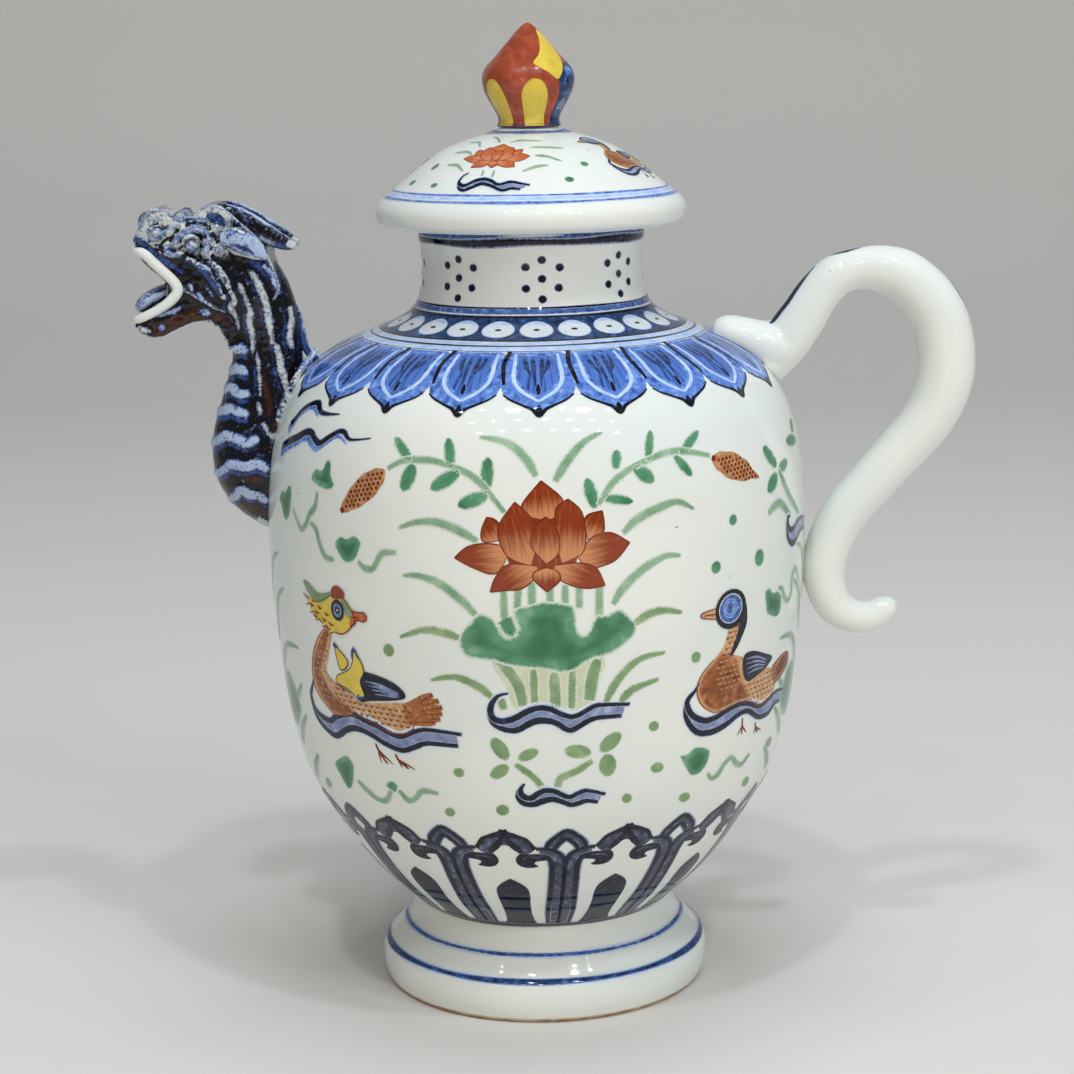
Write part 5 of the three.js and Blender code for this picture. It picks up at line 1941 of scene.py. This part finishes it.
@dataclass
class LidPainting:
    """What is painted on the dome and the bud. x is in degrees unless a canvas says otherwise."""

    palette: Palette
    skins: dict[str, Skin]
    dome_start: float = 5.0
    bud_start: float = 8.4
    grass: Sequence[Path] = (
        ((-55, 26.5), (-45, 27.3), (-38, 26)), ((-50, 21), (-42, 21), (-35, 18.5)),
        ((-60, 33), (-48, 33.5), (-38, 30)), ((-42, 38), (-33, 36.5), (-25, 33.5)),
        ((-17, 33.5), (-10, 35), (0, 35), (12, 34.5)), ((0, 30), (12, 29.8), (24, 28.8)),
        ((3, 25.5), (10, 25), (18, 22.5)), ((-4, 18.5), (3, 20.5), (10, 21)), ((-24, 19.5), (-23, 15.5)),
        ((-18, 19.5), (-18, 15)),
    )
    leaves: Stations = (
        (-59, 20, 2.5, 1.5), (-66, 13.2, 2.5, 1.2), (-47, 12.8, 2.2, 1), (18, 15, 2.4, 1.1),
        (30, 21, 2.4, 1.1),
    )
    arch: Path = (
        (-17, 1), (-17.5, 5), (-18.5, 10), (-14, 13.2), (-6, 15), (0, 15.2), (8, 14.6), (15, 12.3),
        (18.5, 9), (19, 5), (20, 1),
    )
    flame: Path = (
        (8, 20), (20, 23.2), (35, 28), (50, 32), (75, 31.5), (80, 27), (68, 22.5), (55, 19), (45, 16),
        (38, 15), (26, 17),
    )
    panel: Path = (
        (41, 15), (47, 16.5), (55, 18.5), (66, 20), (92, 20.5), (92, 1), (42, 1), (44, 5), (46, 9), (43, 12),
    )

    def dome(self) -> None:
        """Paint the edge lines, and a small lotus and duck twice round the dome."""
        palette, skin = self.palette, self.skins["dome"]
        palette.begin()
        palette.line(Pigment.PALE_COBALT, skin, self.dome_start + 7.9, 0.9)
        palette.line(Pigment.COBALT, skin, self.dome_start + 6.2, 0.75, 0.08)
        palette.line(Pigment.COBALT, skin, self.dome_start + 9.1, 0.55, 0.08)
        palette.line(Pigment.MIDDLE_COBALT, skin, skin.run_at(249.7), 1.2, 0.1, 90)
        for half_turn in (0.0, 180.0):
            pond = PondScene(palette, skin)
            at = Canvas(skin, math.radians(half_turn), self.dome_start, fan=ONE_DEGREE)
            palette.strokes(Pigment.PALE_GREEN, at, self.grass, (0.3, 0.8, 0.7, 0.3), 0.4)
            for x, y, wide, tall in self.leaves:
                palette.begin()
                palette.dot(Pigment.GREEN, at, x, y, wide, tall)
            pond.wave(
                at,
                ((-31, 18), (-33.5, 16.5), (-33.5, 14), (-30, 13), (-26, 14.8), (-22, 15.6), (-18, 15),
                 (-14, 13.5), (-9, 14.5), (-4, 13.8), (0, 13.2)),
                ((-34, 14), (-32, 12), (-29, 11.2), (-26, 12.3), (-22, 13.8), (-17, 13), (-12, 11.3),
                 (-8, 12), (-4, 11.6)),
                0.75,
            )
            lotus = Canvas(skin, math.radians(-21 + half_turn), 26 + self.dome_start, scale=0.42)
            pond.lotus(lotus, Pigment.ORANGE, 0.24, 3.4)
            pond.plain_duck(Canvas(skin, math.radians(64 + half_turn), 24.2 + self.dome_start, scale=0.5))

    def bud(self) -> None:
        """Paint yellow arches round the red bud, a yellow flame up it, and beside that a dark-blue panel with
        painted highlights.
        """
        palette, skin = self.palette, self.skins["finial"]
        palette.begin(0.0)
        level = palette.lift
        for k in (0, 2, 3, 5):
            palette.lift = level
            place = Canvas(skin, math.radians(9 + 60 * k), self.bud_start, fan=ONE_DEGREE)
            palette.fill(Pigment.YELLOW, place, self.arch, (self.arch[-1], self.arch[0]), step=1.0)
        for half_turn in (0.0, 180.0):
            palette.lift = level
            place = Canvas(skin, math.radians(half_turn), self.bud_start, fan=ONE_DEGREE)
            palette.fill(Pigment.YELLOW, place, self.flame, step=1.0)
            palette.fill(
                Pigment.NAVY, place, self.panel[:5], self.panel[4:6], self.panel[5:7], self.panel[6:],
                step=1.0
            )
            # Painted highlights on the dark panel: a blue-white streak near its top and a paler grey-blue
            # patch near its foot.
            palette.stroke(
                Pigment.COBALT, place, ((50, 13), (56, 16.5), (64, 17.5), (72, 17)), (0.8, 1.4, 1.4, 0.6)
            )
            palette.stroke(Pigment.WATER, place, ((50, 6.5), (60, 7.5), (70, 6)), (1.0, 1.8, 1.0))
        palette.line(Pigment.NAVY, skin, 0.8 + self.bud_start, 0.75, 0.0, 60)


@dataclass
class Stage:
    """The pale floor, the soft lamps and the camera at the photograph's viewpoint, in metres and watts.

    A lamp has its name, place, size, power, tint, and whether the glaze mirrors it.
    """

    axis_x: float
    camera_height: float = 0.280
    camera_distance: float = 0.743
    pitch_deg: float = 11.27
    roll_deg: float = -1.1
    focal_px: float = 2584.0
    photo_px: float = 1074.0
    sensor_mm: float = 36.0
    aim_height: float = 0.14
    daylight: str = "#f4f9ff"
    lamps: Sequence[tuple[str, Sequence[float], float, float, str, bool]] = (
        ("key_left", (-0.25, -0.85, 1.9), 0.1, 5, "#f4f9ff", True),
        ("key_right", (0.55, -0.85, 1.9), 0.1, 5, "#f4f9ff", True),
        ("fill", (1.2, -1.1, 0.9), 0.5, 6, "#f4f9ff", False),
        ("top", (0.1, 0.1, 1.9), 0.9, 10.5, "#f4f9ff", False),
        ("bounce", (0.1, -1.5, 0.12), 0.9, 8.5, "#ffe2c0", False),
    )
    spot_rows: Path = ((-0.8, 1.95), (-1.1, 1.7), (-1.3, 1.4))
    spots_in_row: int = 7
    spot_gap: float = 0.3
    row_shift: float = 0.1
    spot_size: float = 0.04
    spot_watts: float = 0.5
    world_colour: str = "#e8ebee"
    world_strength: float = 0.24

    def camera(self) -> None:
        """Stand the camera in front of the pot, looking a little down."""
        data = bpy.data.cameras.new("camera")
        data.sensor_fit = "HORIZONTAL"
        data.sensor_width = self.sensor_mm
        data.lens = self.focal_px / self.photo_px * self.sensor_mm
        data.clip_start = 0.05
        camera = placed("camera", data)
        camera.location = (self.axis_x, -self.camera_distance, self.camera_height)
        tip = Matrix.Rotation(math.radians(90 - self.pitch_deg), 3, "X")
        camera.rotation_euler = (tip @ Matrix.Rotation(math.radians(self.roll_deg), 3, "Z")).to_euler()
        bpy.context.scene.camera = camera

    def floor(self) -> None:
        """Lay a large pale floor that curves up behind into a backdrop."""
        made = bmesh.new()
        run = [(-3.0, 0), (1.2, 0), (1.45, 0.03), (1.66, 0.12), (1.8, 0.28), (1.86, 0.5), (1.88, 2.6)]
        verts = [made.verts.new((-3, y, z - 0.0002)) for y, z in run]
        edges = [made.edges.new(pair) for pair in zip(verts, verts[1:])]
        grown = bmesh.ops.extrude_edge_only(made, edges=edges)["geom"]
        bmesh.ops.translate(
            made, vec=(6, 0, 0), verts=[g for g in grown if isinstance(g, bmesh.types.BMVert)]
        )
        bmesh.ops.recalc_face_normals(made, faces=made.faces)
        mesh = mesh_from("backdrop", made)
        mesh.shade_smooth()
        tree = Tree("matt_paper")
        paper = tree.add("BsdfPrincipled", {"Base Color": linear("#dcdad5"), "Roughness": 0.9})
        tree.add("OutputMaterial", {"Surface": paper})
        mesh.materials.append(tree.material)
        placed("backdrop", mesh)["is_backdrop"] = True

    def lamp(
        self, name: str, place: Sequence[float], size: float, watts: float, tint: str, mirrored_in_glaze: bool
    ) -> None:
        """Hang a square lamp that faces the pot, and keep a large one out of what the glaze mirrors."""
        data = bpy.data.lights.new(name, "AREA")
        data.size = size
        data.energy = watts
        data.color = linear(tint)[:3]
        lamp = placed(name, data)
        lamp.visible_glossy = mirrored_in_glaze
        lamp.location = place
        aim = Vector((self.axis_x, 0, self.aim_height)) - Vector(place)
        lamp.rotation_euler = aim.to_track_quat("-Z", "Y").to_euler()

    def build(self) -> None:
        """Set the camera, the floor, the lamps and the world."""
        self.camera()
        self.floor()
        for name, place, size, watts, tint, mirrored in self.lamps:
            self.lamp(name, place, size, watts, tint, mirrored)
        for row, (y, z) in enumerate(self.spot_rows):
            for i in range(self.spots_in_row):
                name = f"spot_{row + 1}_{i + 1}"
                place = (self.spot_gap * (i - self.spots_in_row // 2) + self.row_shift * row, y, z)
                self.lamp(name, place, self.spot_size, self.spot_watts, self.daylight, True)
        world = bpy.data.worlds.new("studio")
        world.use_nodes = True
        sky = world.node_tree.nodes["Background"]
        sky.inputs["Color"].default_value = linear(self.world_colour)
        sky.inputs["Strength"].default_value = self.world_strength
        bpy.context.scene.world = world


def main() -> None:
    """Build the ewer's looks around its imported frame."""
    logging.basicConfig(level=logging.INFO, format="%(message)s")
    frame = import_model()
    cad_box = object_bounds()
    foot_low, foot_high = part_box("foot_ring")
    axis_x = (foot_low.x + foot_high.x) / 2
    LOG.info("frame has %d nodes, pot axis at x = %.2f mm", len(frame["nodes"]), axis_x / MM)
    skins = Pot(axis_x).build()
    skins |= Lid(axis_x).build()
    Handle(axis_x).build()
    Spout(axis_x).build()

    def palette(zone: str, cad_body: str, height: float) -> Palette:
        """A zone's palette, whose heart is on the pot's axis at height metres."""
        return Palette(zone, cad_body, Vector((axis_x, 0, height)))

    body = palette("body", "ewer", 0.11)
    for turn in (0.0, math.pi):
        PondScene(body, skins["body"], turn).build()
    paint_flames(body, skins["body"])
    body.pieces()
    bands = palette("bands", "ewer", 0.11)
    Borders(bands, skins).build()
    bands.pieces()
    paint_foot(palette("foot", "ewer", -0.1), skins["foot"])
    lid = palette("lid", "lid", 0.2)
    LidPainting(lid, skins).dome()
    lid.pieces()
    bud = palette("bud", "lid", 0.262)
    LidPainting(bud, skins).bud()
    bud.pieces()
    Stage(axis_x).build()
    bpy.context.scene.view_settings.view_transform = "Standard"
    boxes = {"cad": cad_box, "visual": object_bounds()}
    {name: [[float(v) for v in corner] for corner in box] for name, box in boxes.items()}


if __name__ == "__main__":
    main()
